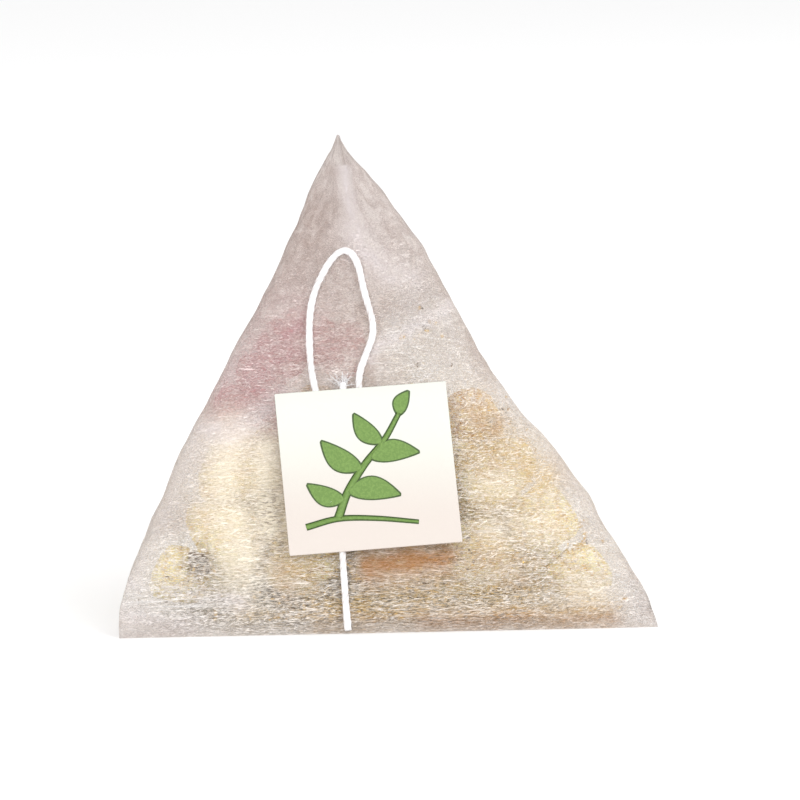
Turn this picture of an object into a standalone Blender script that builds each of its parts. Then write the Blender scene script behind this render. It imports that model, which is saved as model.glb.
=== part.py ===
"""Pyramid tea bag: a tube of translucent nonwoven cloth with two crossed seals, its dried filling in separate
pieces, a cotton string in a loop and a square card tag. Metres, +Z up, the bag's front face towards -Y."""

import math

import bmesh
import bpy
import numpy as np
from mathutils import Matrix, Vector, noise
from mathutils.bvhtree import BVHTree

# The bag. Its tube is laid flat at each end, so both seals are as long as the flat tube is wide.
SEAL_LENGTH = 0.062
FACE_HEIGHT = 0.0555  # between the seals, up the front face
CLOTH = 0.0002
BOTTOM_SEAL = 0.004  # height of the welded band along the front
TOP_SEAL = 0.0026  # height of the welded band along the back ridge
TOP_FOLD = math.radians(122)  # how far that band is folded over to the right
TOP_TRIM = 0.65  # how much lower its upper end is for each millimetre off the ridge, along the bag's edge
FOLD_RADIUS = 0.0006
SEAL_THICKNESS = 0.0005
APEX_OFFSET = 0.0036  # the top of the back ridge leans this far to the left, and its foot to the right
HEEL_HEIGHT = 0.0008  # height of the back ridge's foot before the bag settles
SETTLE = 0.0035  # how far the weight of the filling lowers the underside
SETTLE_REACH = 0.022  # height up to which that shows
LOW_RADIUS = 0.0065  # of the corners of the bag's section where the filling swells it
HIGH_RADIUS = 0.0010  # and at the empty top
MOST_ROUND = 0.95  # share of a thin section's half thickness that its corners may take
PORE = 0.001  # one hole in the cloth, for the many fine ones of the real weave
PORE_SIDES = 12
PORE_PLACE = (0.75, 0.72)  # down the right back face, and from the front seal to the back one

# The card tag, which lies on the front face.
TAG_WIDTH = 0.020
TAG_HEIGHT = 0.0191
TAG_THICKNESS = 0.0003
TAG_CENTRE = (-0.0017, 0.0181)  # across and up, seen from the front
TAG_TURN = math.radians(3.6)

# The string. Its route is seen from the front, across and up, from the bottom seal to the cut end.
STRING = 0.0008
STRING_STEP = 2.1  # diameters between two points of the tube
ROUTE_STEP = 0.25  # diameters between two places where the route is laid on the cloth
CURVE_STEPS = 24  # between two chosen points of a route, before its points are spaced evenly
TAG_LEAVE = 0.003  # over which the string passes from the tag's back to the cloth
STRING_ROUTE = (
    (-0.0046, 0.0007), (-0.0047, 0.0022), (-0.0048, 0.0044), (-0.0049, 0.0067), (-0.0050, 0.0092),
    (-0.0056, 0.0122), (-0.0069, 0.0156), (-0.0078, 0.0192), (-0.0078, 0.0226), (-0.0073, 0.0255),
    (-0.0077, 0.0278), (-0.0079, 0.0303), (-0.0079, 0.0328), (-0.0077, 0.0350), (-0.0071, 0.0371),
    (-0.0061, 0.0391), (-0.0049, 0.0408), (-0.0036, 0.0418), (-0.0025, 0.0414), (-0.0019, 0.0400),
    (-0.0014, 0.0380), (-0.0009, 0.0358), (-0.0004, 0.0338), (-0.0006, 0.0318), (-0.0014, 0.0300),
    (-0.0022, 0.0282), (-0.0024, 0.0264), (-0.0020, 0.0244), (-0.0013, 0.0223), (-0.0012, 0.0202),
    (-0.0023, 0.0186), (-0.0038, 0.0186), (-0.0049, 0.0202), (-0.0051, 0.0223), (-0.0047, 0.0245),
    (-0.0043, 0.0262), (-0.0042, 0.0272),
)  # fmt: skip

# The filling. Pieces that show through the front face have chosen places, and the rest are spread evenly.
GAP = 0.0003  # between any two pieces that touch
FILL_HEIGHT = 0.0245
LAYER_ROWS = (7, 6, 5)  # rows from front to back in each layer of pieces, of which the chosen ones are the first
EMPTY_ROWS = (4, 3, 2)  # rows of empty places in the layers above, which bound the highest pieces
EMPTY_REACH = 0.7  # share of the height above the filling over which those layers are spread
OFF_WALLS = 0.82  # how far the rows reach, as a share of the way from the middle to the cloth
SCATTER = 0.0010  # how far a piece lies off its even place
SPREAD_ROUNDS = 3  # how often the pieces move apart
PIECE_SIZE = 0.0080  # of a large piece, against which a seed's room is measured
NEIGHBOURS = 2.6  # piece sizes over which pieces can touch
WALL_ROOM = 0.0006  # from the middle of a bag face to the filling, beside the cloth and the gap
WALL_JOIN = math.radians(4)  # facets of the hollow that meet at less than this angle count as one wall
SMALLEST_WALL = 1e-6  # square metres, below which a facet is a sliver with no sure direction
LUMP_CUTS = {"fruit_piece": 3, "peel_slice": 3, "dark_seed": 1}  # across each side of the cube it starts as
FILL_SHARPNESS = 7  # how closely a dried piece fills its room: more is squarer
DENT_DEPTH = 0.16  # share of the way to the middle
DENT_SPACING = 0.006
PETAL_ROUNDING = 0.00025
ROUNDED_FROM = math.radians(20)  # between two faces
PETAL_THICKNESS = 0.0009
PETAL_LEAN = math.radians(30)  # of its face from upright, so that it lies along the front face
SLICE_THICKNESS = 0.0026
SLICE_LEAN = math.radians(25)
SEED_SIZE = 0.0042
SHOWN_PIECES = (
    # kind, across, up, and how deep behind the front face
    ("fruit_piece", -0.0172, 0.0085, 0.0040),
    ("fruit_piece", -0.0098, 0.0068, 0.0042),
    ("fruit_piece", -0.0240, 0.0045, 0.0040),
    ("fruit_piece", 0.0137, 0.0162, 0.0040),
    ("fruit_piece", 0.0198, 0.0108, 0.0042),
    ("fruit_piece", 0.0232, 0.0044, 0.0040),
    ("fruit_piece", 0.0108, 0.0058, 0.0044),
    ("fruit_piece", -0.0160, 0.0172, 0.0042),
    ("peel_slice", 0.0018, 0.0078, 0.0036),
    ("peel_slice", 0.0122, 0.0226, 0.0040),
    ("peel_slice", -0.0050, 0.0180, 0.0060),
    ("rose_petal", -0.0140, 0.0262, 0.0030),
    ("rose_petal", -0.0098, 0.0305, 0.0048),
    ("rose_petal", -0.0040, 0.0290, 0.0105),
    ("dark_seed", -0.0060, 0.0022, 0.0030),
    ("dark_seed", -0.0012, 0.0024, 0.0032),
    ("dark_seed", 0.0040, 0.0020, 0.0030),
    ("dark_seed", 0.0152, 0.0018, 0.0030),
    ("dark_seed", -0.0140, 0.0020, 0.0030),
    ("dark_seed", -0.0215, 0.0066, 0.0026),
)
FIXED_SEED = 7

# Points round the bag's section, on each of its four sides, and sections from seal to seal.
SIDE_POINTS = 10
SECTIONS = 17
FOLD_STEPS = 5

COLOURS = {
    # name: (red, green, blue, solid share), roughness
    "nonwoven cloth": ((0.86, 0.80, 0.76, 0.55), 0.85),
    "cotton string": ((0.93, 0.92, 0.90, 1.0), 0.90),
    "white card": ((0.94, 0.92, 0.87, 1.0), 0.60),
    "dried fruit": ((0.84, 0.70, 0.42, 1.0), 0.70),
    "rose petal": ((0.62, 0.22, 0.28, 1.0), 0.65),
    "dried peel": ((0.56, 0.25, 0.07, 1.0), 0.55),
    "dark seed": ((0.12, 0.08, 0.05, 1.0), 0.45),
}
FINISH_OF_KIND = {
    "fruit_piece": "dried fruit",
    "peel_slice": "dried peel",
    "rose_petal": "rose petal",
    "dark_seed": "dark seed",
}


def smooth_step(value):
    """0 below 0, 1 above 1, and a smooth rise between."""
    value = np.clip(value, 0.0, 1.0)
    return value * value * (3.0 - 2.0 * value)


def start_clean():
    """Empties the scene and gives the collections for the parts and for the cutters."""
    for obj in list(bpy.data.objects):
        bpy.data.objects.remove(obj, do_unlink=True)
    parts = bpy.data.collections.new("pyramid_tea_bag")
    cutters = bpy.data.collections.new("cutters")
    bpy.context.scene.collection.children.link(parts)
    bpy.context.scene.collection.children.link(cutters)
    return parts, cutters


def finish(name):
    """The material of this name, made at its first use."""
    if name in bpy.data.materials:
        return bpy.data.materials[name]
    colour, roughness = COLOURS[name]
    material = bpy.data.materials.new(name)
    material.use_nodes = True
    shader = material.node_tree.nodes["Principled BSDF"]
    shader.inputs["Base Color"].default_value = (*colour[:3], 1.0)
    shader.inputs["Alpha"].default_value = colour[3]
    shader.inputs["Roughness"].default_value = roughness
    shader.inputs["Metallic"].default_value = 0.0
    return material


def mesh_object(name, shape, collection, material=None):
    """An object from a bmesh, with its faces turned outwards."""
    bmesh.ops.recalc_face_normals(shape, faces=shape.faces)
    mesh = bpy.data.meshes.new(name)
    shape.to_mesh(mesh)
    shape.free()
    if material:
        mesh.materials.append(finish(material))
    obj = bpy.data.objects.new(name, mesh)
    collection.objects.link(obj)
    return obj


def cut_away(shape, point, normal):
    """Cuts off what lies beyond a plane, on the side its normal points to, and closes the cut."""
    everything = shape.verts[:] + shape.edges[:] + shape.faces[:]
    cut = bmesh.ops.bisect_plane(
        shape, geom=everything, dist=1e-7, plane_co=point, plane_no=normal, clear_outer=True
    )
    rim = [item for item in cut["geom_cut"] if isinstance(item, bmesh.types.BMEdge)]
    rim = [edge for edge in rim if len(edge.link_faces) < 2]
    if rim:
        bmesh.ops.holes_fill(shape, edges=rim, sides=0)


class BagForm:
    """The bag's skin as a formula: sections that turn from the flat front seal into the flat back seal."""

    def __init__(self):
        crossing = math.sqrt(SEAL_LENGTH**2 - 4 * APEX_OFFSET**2)
        opening = 2 * math.asin(crossing / (2 * FACE_HEIGHT))
        lean = opening
        for _ in range(8):
            lift = BOTTOM_SEAL * math.sin(lean)
            tilt = math.asin((lift - HEEL_HEIGHT) / FACE_HEIGHT)
            lean = opening - tilt
        self.up_face = np.array([0.0, math.cos(lean), math.sin(lean)])
        self.front = BOTTOM_SEAL * self.up_face
        back = np.array([0.0, math.cos(tilt), -math.sin(tilt)])
        sideways = np.array([APEX_OFFSET, 0.0, 0.0])
        self.heel = self.front + FACE_HEIGHT * back + sideways
        self.apex = self.front + FACE_HEIGHT * self.up_face - sideways
        self.rear = (self.heel + self.apex) / 2
        self.across = np.array([1.0, 0.0, 0.0])
        self.along_ridge = (self.heel - self.apex) / SEAL_LENGTH
        self.outwards = (self.rear - self.front) / np.linalg.norm(self.rear - self.front)

    def square(self):
        """Points round a unit square, closer together next to its corners: the front side first, then right,
        underside and left."""
        run = np.sin(np.linspace(-math.pi / 2, math.pi / 2, SIDE_POINTS, endpoint=False))
        edge = np.full(SIDE_POINTS, 1.0)
        sides = ((run, -edge), (edge, run), (-run, edge), (-edge, -run))
        return np.concatenate([np.stack(side, axis=1) for side in sides])

    def section(self, share, inset=0.0):
        """The ring of points at a share of the way from the front seal to the back one. Its length round the
        cloth is the same everywhere, so a rounder section stands proud of the flat faces."""
        square = self.square()
        half_seal = SEAL_THICKNESS / 2
        half = np.array(
            [
                SEAL_LENGTH / 2 * (1 - share) + half_seal * share,
                SEAL_LENGTH / 2 * share + half_seal * (1 - share),
            ]
        )
        middle = self.front + share * (self.rear - self.front)
        height = self.place(middle, square * half)[:, 2] / self.apex[2]
        radius = LOW_RADIUS + (HIGH_RADIUS - LOW_RADIUS) * smooth_step(height)
        radius = np.minimum(radius, MOST_ROUND * half.min())
        rounded = self.round_corners(square, half, radius)
        length = np.linalg.norm(rounded - np.roll(rounded, -1, axis=0), axis=1).sum()
        swell = 4 * half.sum() / length
        rounded = self.round_corners(square, swell * half - inset, swell * radius - inset)
        return self.settled(self.place(middle, rounded))

    @staticmethod
    def round_corners(square, half, radius):
        """The square stretched to a rectangle of these half sizes, with round corners."""
        points = square * half
        radius = np.maximum(radius, 0.0)[:, None]
        core = np.clip(points, radius - half, half - radius)
        out = points - core
        return core + radius * out / np.maximum(np.linalg.norm(out, axis=1), 1e-9)[:, None]

    def place(self, middle, points):
        """Puts points of a section, across and along the back ridge, in space."""
        return middle + points[:, :1] * self.across + points[:, 1:] * self.along_ridge

    def settled(self, points):
        """Lowers the underside under the weight of the filling."""
        depth = np.clip((points[:, 1] - self.front[1]) / (self.heel[1] - self.front[1]), 0.0, 1.0)
        belly = np.sqrt(np.sin(math.pi * depth))
        low = 1 - smooth_step(points[:, 2] / SETTLE_REACH)
        lowered = points.copy()
        lowered[:, 2] -= SETTLE * belly * low
        return lowered

    def bottom_band(self):
        """The lower edge of the front seal's band, in line with the front face."""
        points = self.square() * (SEAL_LENGTH / 2, SEAL_THICKNESS / 2)
        inwards = np.array([0.0, self.up_face[2], -self.up_face[1]])
        return self.front - BOTTOM_SEAL * self.up_face + points[:, :1] * self.across + points[:, 1:] * inwards

    def top_band(self):
        """The rings of the back seal's band, which turns over to the right and then runs straight."""
        right = self.across - (self.across @ self.along_ridge) * self.along_ridge
        right /= np.linalg.norm(right)
        turns = np.linspace(0.0, TOP_FOLD, FOLD_STEPS)
        bend = turns[1]
        middle = self.rear.copy()
        rings = []
        for turn in turns[1:]:
            mean = turn - bend / 2
            middle = middle + FOLD_RADIUS * bend * (math.cos(mean) * self.outwards + math.sin(mean) * right)
            thick = math.cos(turn) * right - math.sin(turn) * self.outwards
            rings.append(self.top_ring(middle, thick, FOLD_RADIUS * turn))
        run = TOP_SEAL - FOLD_RADIUS * TOP_FOLD
        middle = middle + run * (math.cos(TOP_FOLD) * self.outwards + math.sin(TOP_FOLD) * right)
        rings.append(self.top_ring(middle, thick, TOP_SEAL))
        return rings

    def top_ring(self, middle, thick, width):
        """A ring of the back seal's band, this far from the ridge, with its upper end trimmed."""
        points = self.square() * (SEAL_THICKNESS / 2, SEAL_LENGTH / 2)
        along = points[:, 1:] + TOP_TRIM * width * (0.5 - points[:, 1:] / SEAL_LENGTH)
        return middle + points[:, :1] * thick + along * self.along_ridge

    def inner_place(self, up, back, sideways):
        """A place inside, at a height, a share of the way from the front face to the back ridge, and a share
        from the middle of that row (0) to its right end (1) or its left one (-1)."""
        back = (1 - OFF_WALLS) / 3 + OFF_WALLS * back
        sideways = OFF_WALLS * sideways
        rise = (up - self.front[2]) / (self.apex[2] - self.front[2])
        front = self.front + rise * (self.apex - self.front)
        fall = (self.apex[2] - up) / (self.apex[2] - self.heel[2])
        ridge = self.apex + fall * (self.heel - self.apex)
        half_width = SEAL_LENGTH / 2 * (1 - rise) * (1 - back)
        return front + back * (ridge - front) + sideways * half_width * self.across

    @staticmethod
    def stations():
        """Where the sections lie, from seal to seal, closer together next to the seals."""
        return (1 - np.cos(np.linspace(0.0, math.pi, SECTIONS))) / 2

    def outer_rings(self):
        """All rings of the outer skin, with the welded band at each end."""
        return [self.bottom_band(), *(self.section(share) for share in self.stations()), *self.top_band()]

    def inner_rings(self, inset):
        """The rings of a skin that lies this far inside the outer one, clear of the seals."""
        return [self.section(share, inset) for share in self.stations()[1:-1]]


def loft(rings):
    """A closed solid through rings of points."""
    shape = bmesh.new()
    loops = [[shape.verts.new(point) for point in ring] for ring in rings]
    count = len(rings[0])
    for near, far in zip(loops, loops[1:]):
        for i in range(count):
            j = (i + 1) % count
            shape.faces.new((near[i], near[j], far[j], far[i]))
    shape.faces.new(loops[0])
    shape.faces.new(loops[-1])
    bmesh.ops.recalc_face_normals(shape, faces=shape.faces)
    return shape


def make_bag(form, parts, cutters):
    """The cloth: the outer form, less the hollow and one pore, and flat where it stands."""
    outer = loft(form.outer_rings())
    cut_away(outer, (0, 0, 0), (0, 0, -1))
    bag = mesh_object("bag", outer, parts, "nonwoven cloth")
    hollow = loft(form.inner_rings(CLOTH))
    cut_away(hollow, (0, 0, CLOTH), (0, 0, -1))
    hollow = mesh_object("hollow", hollow, cutters)
    pore = make_pore(form, cutters)
    for cutter in (hollow, pore):
        cutter.hide_render = True
        cutter.display_type = "WIRE"
        cut = bag.modifiers.new(cutter.name, "BOOLEAN")
        cut.object = cutter
        cut.operation = "DIFFERENCE"
    return bag


def make_pore(form, cutters):
    """A short round cutter through the cloth, low on the right back face."""
    down, share = PORE_PLACE
    ring = form.section(share)
    place = Vector(ring[SIDE_POINTS + int(down * SIDE_POINTS)])
    towards = (Vector(ring.mean(axis=0)) - place).normalized()
    shape = bmesh.new()
    radius = PORE / 2
    bmesh.ops.create_cone(
        shape, cap_ends=True, segments=PORE_SIDES, radius1=radius, radius2=radius, depth=4 * PORE
    )
    turn = towards.to_track_quat("Z", "Y").to_matrix().to_4x4()
    shape.transform(Matrix.Translation(place) @ turn)
    return mesh_object("pore", shape, cutters)


def tree_of(rings):
    """A search tree of a lofted solid, for rays from the front."""
    shape = loft(rings)
    tree = BVHTree.FromBMesh(shape)
    shape.free()
    return tree


def front_point(tree, across, up):
    """The point of the front face seen at a place across and up, and the face's direction there."""
    point, normal, _, _ = tree.ray_cast(Vector((across, -SEAL_LENGTH, up)), Vector((0, 1, 0)))
    return point, normal if normal.y < 0 else -normal


class TagSeat:
    """The plane on which the tag lies: parallel to the cloth under it, one string off its highest point."""

    def __init__(self, tree):
        across, up = TAG_CENTRE
        shares = np.linspace(-0.5, 0.5, 7)
        spots = [
            front_point(tree, across + i * TAG_WIDTH, up + j * TAG_HEIGHT) for i in shares for j in shares
        ]
        self.normal = sum((normal for _, normal in spots), Vector()).normalized()
        crown = max(point.dot(self.normal) for point, _ in spots)
        self.string_level = crown + GAP + STRING / 2
        self.card_level = crown + 2 * GAP + STRING + TAG_THICKNESS / 2

    def on_plane(self, across, up, level):
        """The point of a plane parallel to the tag that is seen at a place across and up."""
        rest = self.normal.x * across + self.normal.z * up
        return Vector((across, (level - rest) / self.normal.y, up))

    def turned(self):
        """The tag's own axes: across it, up it and out of it."""
        across = Vector((1, 0, 0))
        across = (across - across.dot(self.normal) * self.normal).normalized()
        axes = Matrix((across, self.normal.cross(across), self.normal)).transposed()
        return axes @ Matrix.Rotation(TAG_TURN, 3, "Z")

    def under(self, across, up):
        """1 under the tag, 0 well beside it."""
        centre = self.on_plane(*TAG_CENTRE, self.card_level)
        local = self.turned().transposed() @ (self.on_plane(across, up, self.card_level) - centre)
        beyond = max(abs(local.x) - TAG_WIDTH / 2, abs(local.y) - TAG_HEIGHT / 2)
        return 1 - float(smooth_step(beyond / TAG_LEAVE))


def make_tag(seat, parts):
    """The card, nearly square."""
    shape = bmesh.new()
    bmesh.ops.create_cube(shape, size=1.0)
    bmesh.ops.scale(shape, vec=(TAG_WIDTH, TAG_HEIGHT, TAG_THICKNESS), verts=shape.verts)
    tag = mesh_object("tag", shape, parts, "white card")
    centre = seat.on_plane(*TAG_CENTRE, seat.card_level)
    tag.matrix_world = Matrix.Translation(centre) @ seat.turned().to_4x4()
    return tag


def smooth_route(points, step):
    """Evenly spaced points of a smooth curve through the given ones."""
    points = np.array(points)
    ends = (2 * points[0] - points[1], 2 * points[-1] - points[-2])
    knots = np.vstack([ends[0], points, ends[1]])
    fine = []
    for a, b, c, d in zip(knots, knots[1:], knots[2:], knots[3:]):
        for s in np.linspace(0.0, 1.0, CURVE_STEPS, endpoint=False):
            fine.append(b + 0.5 * s * (c - a + s * (2 * a - 5 * b + 4 * c - d + s * (3 * (b - c) + d - a))))
    fine = np.array(fine + [points[-1]])
    run = np.concatenate([[0.0], np.cumsum(np.linalg.norm(np.diff(fine, axis=0), axis=1))])
    count = round(run[-1] / step) + 1
    even = np.linspace(0.0, run[-1], count)
    return np.stack([np.interp(even, run, fine[:, axis]) for axis in range(points.shape[1])], axis=1)


def make_string(tree, seat, parts):
    """The thread, on the cloth and between the cloth and the tag."""
    path = []
    for across, up in smooth_route(STRING_ROUTE, ROUTE_STEP * STRING):
        point, normal = front_point(tree, across, up)
        on_cloth = point + (GAP + STRING / 2) * normal
        behind_tag = seat.on_plane(across, up, seat.string_level)
        path.append(on_cloth.lerp(behind_tag, seat.under(across, up)))
    path = smooth_route(path, STRING_STEP * STRING)
    curve = bpy.data.curves.new("string", "CURVE")
    curve.dimensions = "3D"
    curve.bevel_depth = STRING / 2
    curve.bevel_resolution = 2
    curve.use_fill_caps = True
    spline = curve.splines.new("POLY")
    spline.points.add(len(path) - 1)
    for knot, place in zip(spline.points, path):
        knot.co = (*place, 1.0)
    curve.materials.append(finish("cotton string"))
    string = bpy.data.objects.new("string", curve)
    parts.objects.link(string)
    return string


class Filling:
    """The dried pieces: every piece takes the room nearer to it than to any other, inside the bag's hollow."""

    def __init__(self, form):
        room = GAP + WALL_ROOM
        self.walls = self.planes_of(form.inner_rings(CLOTH + room))
        self.walls.append((Vector((0, 0, CLOTH + GAP)), Vector((0, 0, -1))))
        self.kinds = [kind for kind, *_ in SHOWN_PIECES]
        self.middles = [self.shown_place(*place) for _, *place in SHOWN_PIECES]
        self.fixed = len(self.middles)
        self.spread_evenly(form)

    @staticmethod
    def planes_of(rings):
        """The flat faces round the hollow's space, each as a point and an outward direction."""
        shape = bmesh.new()
        for point in np.concatenate(rings[2:-2:2]):
            shape.verts.new(point)
        hull = bmesh.ops.convex_hull(shape, input=shape.verts)
        loose = [item for item in hull["geom_interior"] if isinstance(item, bmesh.types.BMVert)]
        bmesh.ops.delete(shape, geom=loose, context="VERTS")
        bmesh.ops.dissolve_limit(
            shape, angle_limit=WALL_JOIN, verts=shape.verts, edges=shape.edges
        )
        middle = sum((corner.co for corner in shape.verts), Vector()) / len(shape.verts)
        planes = []
        for face in shape.faces:
            if face.calc_area() < SMALLEST_WALL:
                continue
            outwards = face.normal.copy()
            if outwards.dot(face.verts[0].co - middle) < 0:
                outwards.negate()
            lowest = min(face.verts, key=lambda corner: corner.co.dot(outwards))
            planes.append((lowest.co.copy(), outwards))
        shape.free()
        return planes

    def shown_place(self, across, up, depth):
        """The middle of a piece at this depth behind the front of the hollow."""
        reach = []
        for place, normal in self.walls:
            if normal.y < -1e-3:
                flat = (place - Vector((across, 0, up))).dot(normal)
                reach.append(flat / normal.y)
        return Vector((across, max(reach) + depth, up))

    def lay_rows(self, form, kind, rows_of_layers, low, high, chance):
        """Adds layers of places between two heights. The front row of a layer of pieces is already there."""
        for layer, rows in enumerate(rows_of_layers):
            up = low + (layer + 0.5) / len(rows_of_layers) * (high - low)
            for row in range(0 if kind == "empty" else 1, rows):
                columns = max(1, rows - 1 - row)
                for column in range(columns):
                    place = form.inner_place(up, (row + 0.5) / rows, 2 * (column + 0.5) / columns - 1)
                    self.middles.append(Vector(place + chance.uniform(-SCATTER, SCATTER, 3)))
                    self.kinds.append(kind)

    def spread_evenly(self, form):
        """Lays the other pieces and the empty places above them in rows, and lets them move apart."""
        chance = np.random.default_rng(FIXED_SEED)
        self.lay_rows(form, "fruit_piece", LAYER_ROWS, 0.0, FILL_HEIGHT, chance)
        highest = FILL_HEIGHT + EMPTY_REACH * (form.apex[2] - FILL_HEIGHT)
        self.lay_rows(form, "empty", EMPTY_ROWS, FILL_HEIGHT, highest, chance)
        for _ in range(SPREAD_ROUNDS):
            shapes = [self.cell(i) for i in range(self.fixed, len(self.middles))]
            for i, shape in enumerate(shapes, self.fixed):
                corners = [corner.co for corner in shape.verts]
                self.middles[i] = sum(corners, Vector()) / len(corners)
                shape.free()

    def reach(self, index):
        """Half the size of a piece."""
        return (SEED_SIZE if self.kinds[index] == "dark_seed" else PIECE_SIZE) / 2

    def cell(self, index):
        """The room of one piece, as a closed convex solid."""
        middle = self.middles[index]
        shape = bmesh.new()
        size = SEED_SIZE if self.kinds[index] == "dark_seed" else 3 * PIECE_SIZE
        bmesh.ops.create_cube(shape, size=size, matrix=Matrix.Translation(middle))
        near = sorted(
            (other for other in range(len(self.middles)) if other != index),
            key=lambda other: (self.middles[other] - middle).length,
        )
        for other in near:
            away = self.middles[other] - middle
            distance = away.length
            if distance > NEIGHBOURS * PIECE_SIZE:
                break
            split = (distance**2 + self.reach(index) ** 2 - self.reach(other) ** 2) / (2 * distance)
            direction = away / distance
            cut_away(shape, middle + (split - GAP / 2) * direction, direction)
        for place, normal in self.walls:
            cut_away(shape, place, normal)
        return shape

    @staticmethod
    def slab(shape, middle, thickness, lean):
        """Thins a piece to a flat petal or slice that stands nearly parallel to the front face."""
        outwards = Matrix.Rotation(-lean, 3, "X") @ Vector((0, -1, 0))
        cut_away(shape, middle + outwards * thickness / 2, outwards)
        cut_away(shape, middle - outwards * thickness / 2, -outwards)

    def make(self, parts):
        """One object for each piece."""
        numbers = {kind: 0 for kind in FINISH_OF_KIND}
        for index in range(len(self.middles)):
            kind = self.kinds[index]
            if kind == "empty":
                continue
            shape = self.cell(index)
            if kind == "rose_petal":
                self.slab(shape, self.middles[index], PETAL_THICKNESS, PETAL_LEAN)
            elif kind == "peel_slice":
                self.slab(shape, self.middles[index], SLICE_THICKNESS, SLICE_LEAN)
            if kind in LUMP_CUTS:
                self.lump(shape, LUMP_CUTS[kind])
            numbers[kind] += 1
            piece = mesh_object(f"{kind}_{numbers[kind]:02d}", shape, parts, FINISH_OF_KIND[kind])
            if kind == "rose_petal":
                self.round_edges(piece)

    @staticmethod
    def lump(room, cuts):
        """Turns a piece's room into the rounded, dented piece that dried in it."""
        bmesh.ops.recalc_face_normals(room, faces=room.faces)
        middle = sum((corner.co for corner in room.verts), Vector()) / len(room.verts)
        walls = [(face.normal.copy(), (face.verts[0].co - middle).dot(face.normal)) for face in room.faces]
        room.clear()
        bmesh.ops.create_cube(room, size=1.0)
        bmesh.ops.subdivide_edges(room, edges=room.edges, cuts=cuts, use_grid_fill=True)
        for corner in room.verts:
            outwards = corner.co.normalized()
            nearness = [max(outwards.dot(normal), 0.0) / distance for normal, distance in walls]
            reach = sum(near**FILL_SHARPNESS for near in nearness) ** (-1 / FILL_SHARPNESS)
            dent = max(noise.noise((middle + reach * outwards) / DENT_SPACING), 0.0)
            corner.co = middle + reach * (1 - DENT_DEPTH * dent) * outwards

    @staticmethod
    def round_edges(piece):
        """Breaks a petal's sharp edges."""
        bevel = piece.modifiers.new("rounding", "BEVEL")
        bevel.width = PETAL_ROUNDING
        bevel.segments = 1
        bevel.limit_method = "ANGLE"
        bevel.angle_limit = ROUNDED_FROM


def centre_on_bag(form, parts, cutters):
    """Moves everything so that the middle of the bag's underside is the origin."""
    points = np.concatenate(form.outer_rings())
    middle = (points.min(axis=0) + points.max(axis=0)) / 2
    anchor = bpy.data.objects.new("origin", None)
    anchor.location = (-middle[0], -middle[1], 0.0)
    parts.objects.link(anchor)
    for obj in (*parts.objects, *cutters.objects):
        if obj != anchor:
            obj.parent = anchor


def main():
    parts, cutters = start_clean()
    form = BagForm()
    make_bag(form, parts, cutters)
    tree = tree_of(form.outer_rings())
    seat = TagSeat(tree)
    make_tag(seat, parts)
    make_string(tree, seat, parts)
    Filling(form).make(parts)
    centre_on_bag(form, parts, cutters)


main()
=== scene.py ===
"""Pyramid tea bag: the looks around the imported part.

The cloth is one tube of nonwoven with two crossed seals. The dried filling, the cotton string and the square
card tag each follow the solids of the frame. Metres, +Z up, the front face towards -Y.
"""

import logging
import math
from dataclasses import dataclass, field
from enum import Enum

import bpy
import numpy as np
from mathutils import Matrix, Vector, noise
from mathutils.bvhtree import BVHTree

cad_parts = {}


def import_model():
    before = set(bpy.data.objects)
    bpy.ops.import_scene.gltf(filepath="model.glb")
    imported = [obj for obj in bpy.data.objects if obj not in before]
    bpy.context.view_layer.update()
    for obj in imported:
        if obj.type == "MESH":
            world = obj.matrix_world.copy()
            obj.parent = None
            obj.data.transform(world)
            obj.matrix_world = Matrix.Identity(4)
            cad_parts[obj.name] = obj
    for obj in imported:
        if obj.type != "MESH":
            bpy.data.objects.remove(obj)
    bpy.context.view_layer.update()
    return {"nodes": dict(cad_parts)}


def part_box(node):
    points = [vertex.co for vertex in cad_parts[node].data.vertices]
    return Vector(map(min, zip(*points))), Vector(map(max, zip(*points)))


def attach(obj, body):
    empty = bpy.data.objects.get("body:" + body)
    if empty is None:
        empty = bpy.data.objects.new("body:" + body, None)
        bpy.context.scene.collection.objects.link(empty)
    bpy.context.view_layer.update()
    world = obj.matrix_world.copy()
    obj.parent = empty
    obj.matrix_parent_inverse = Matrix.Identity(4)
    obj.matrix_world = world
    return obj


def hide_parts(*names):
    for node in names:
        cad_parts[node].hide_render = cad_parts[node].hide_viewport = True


LOG = logging.getLogger("tea_bag")
MM = 0.001
BODY = "root"

# The cloth's flat map, and the numbers that points carry for the shaders.
FLAT_MAP = "flat"
CLOSENESS = "closeness"
WELD = "weld"
# The share of painted shade in the folds, grooves and pits of the dried pieces and between the plies of the
# string; on petals it also holds the darker tone of veins and rims.
FOLD_SHADE = "fold_shade"


# Shader maths


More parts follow.
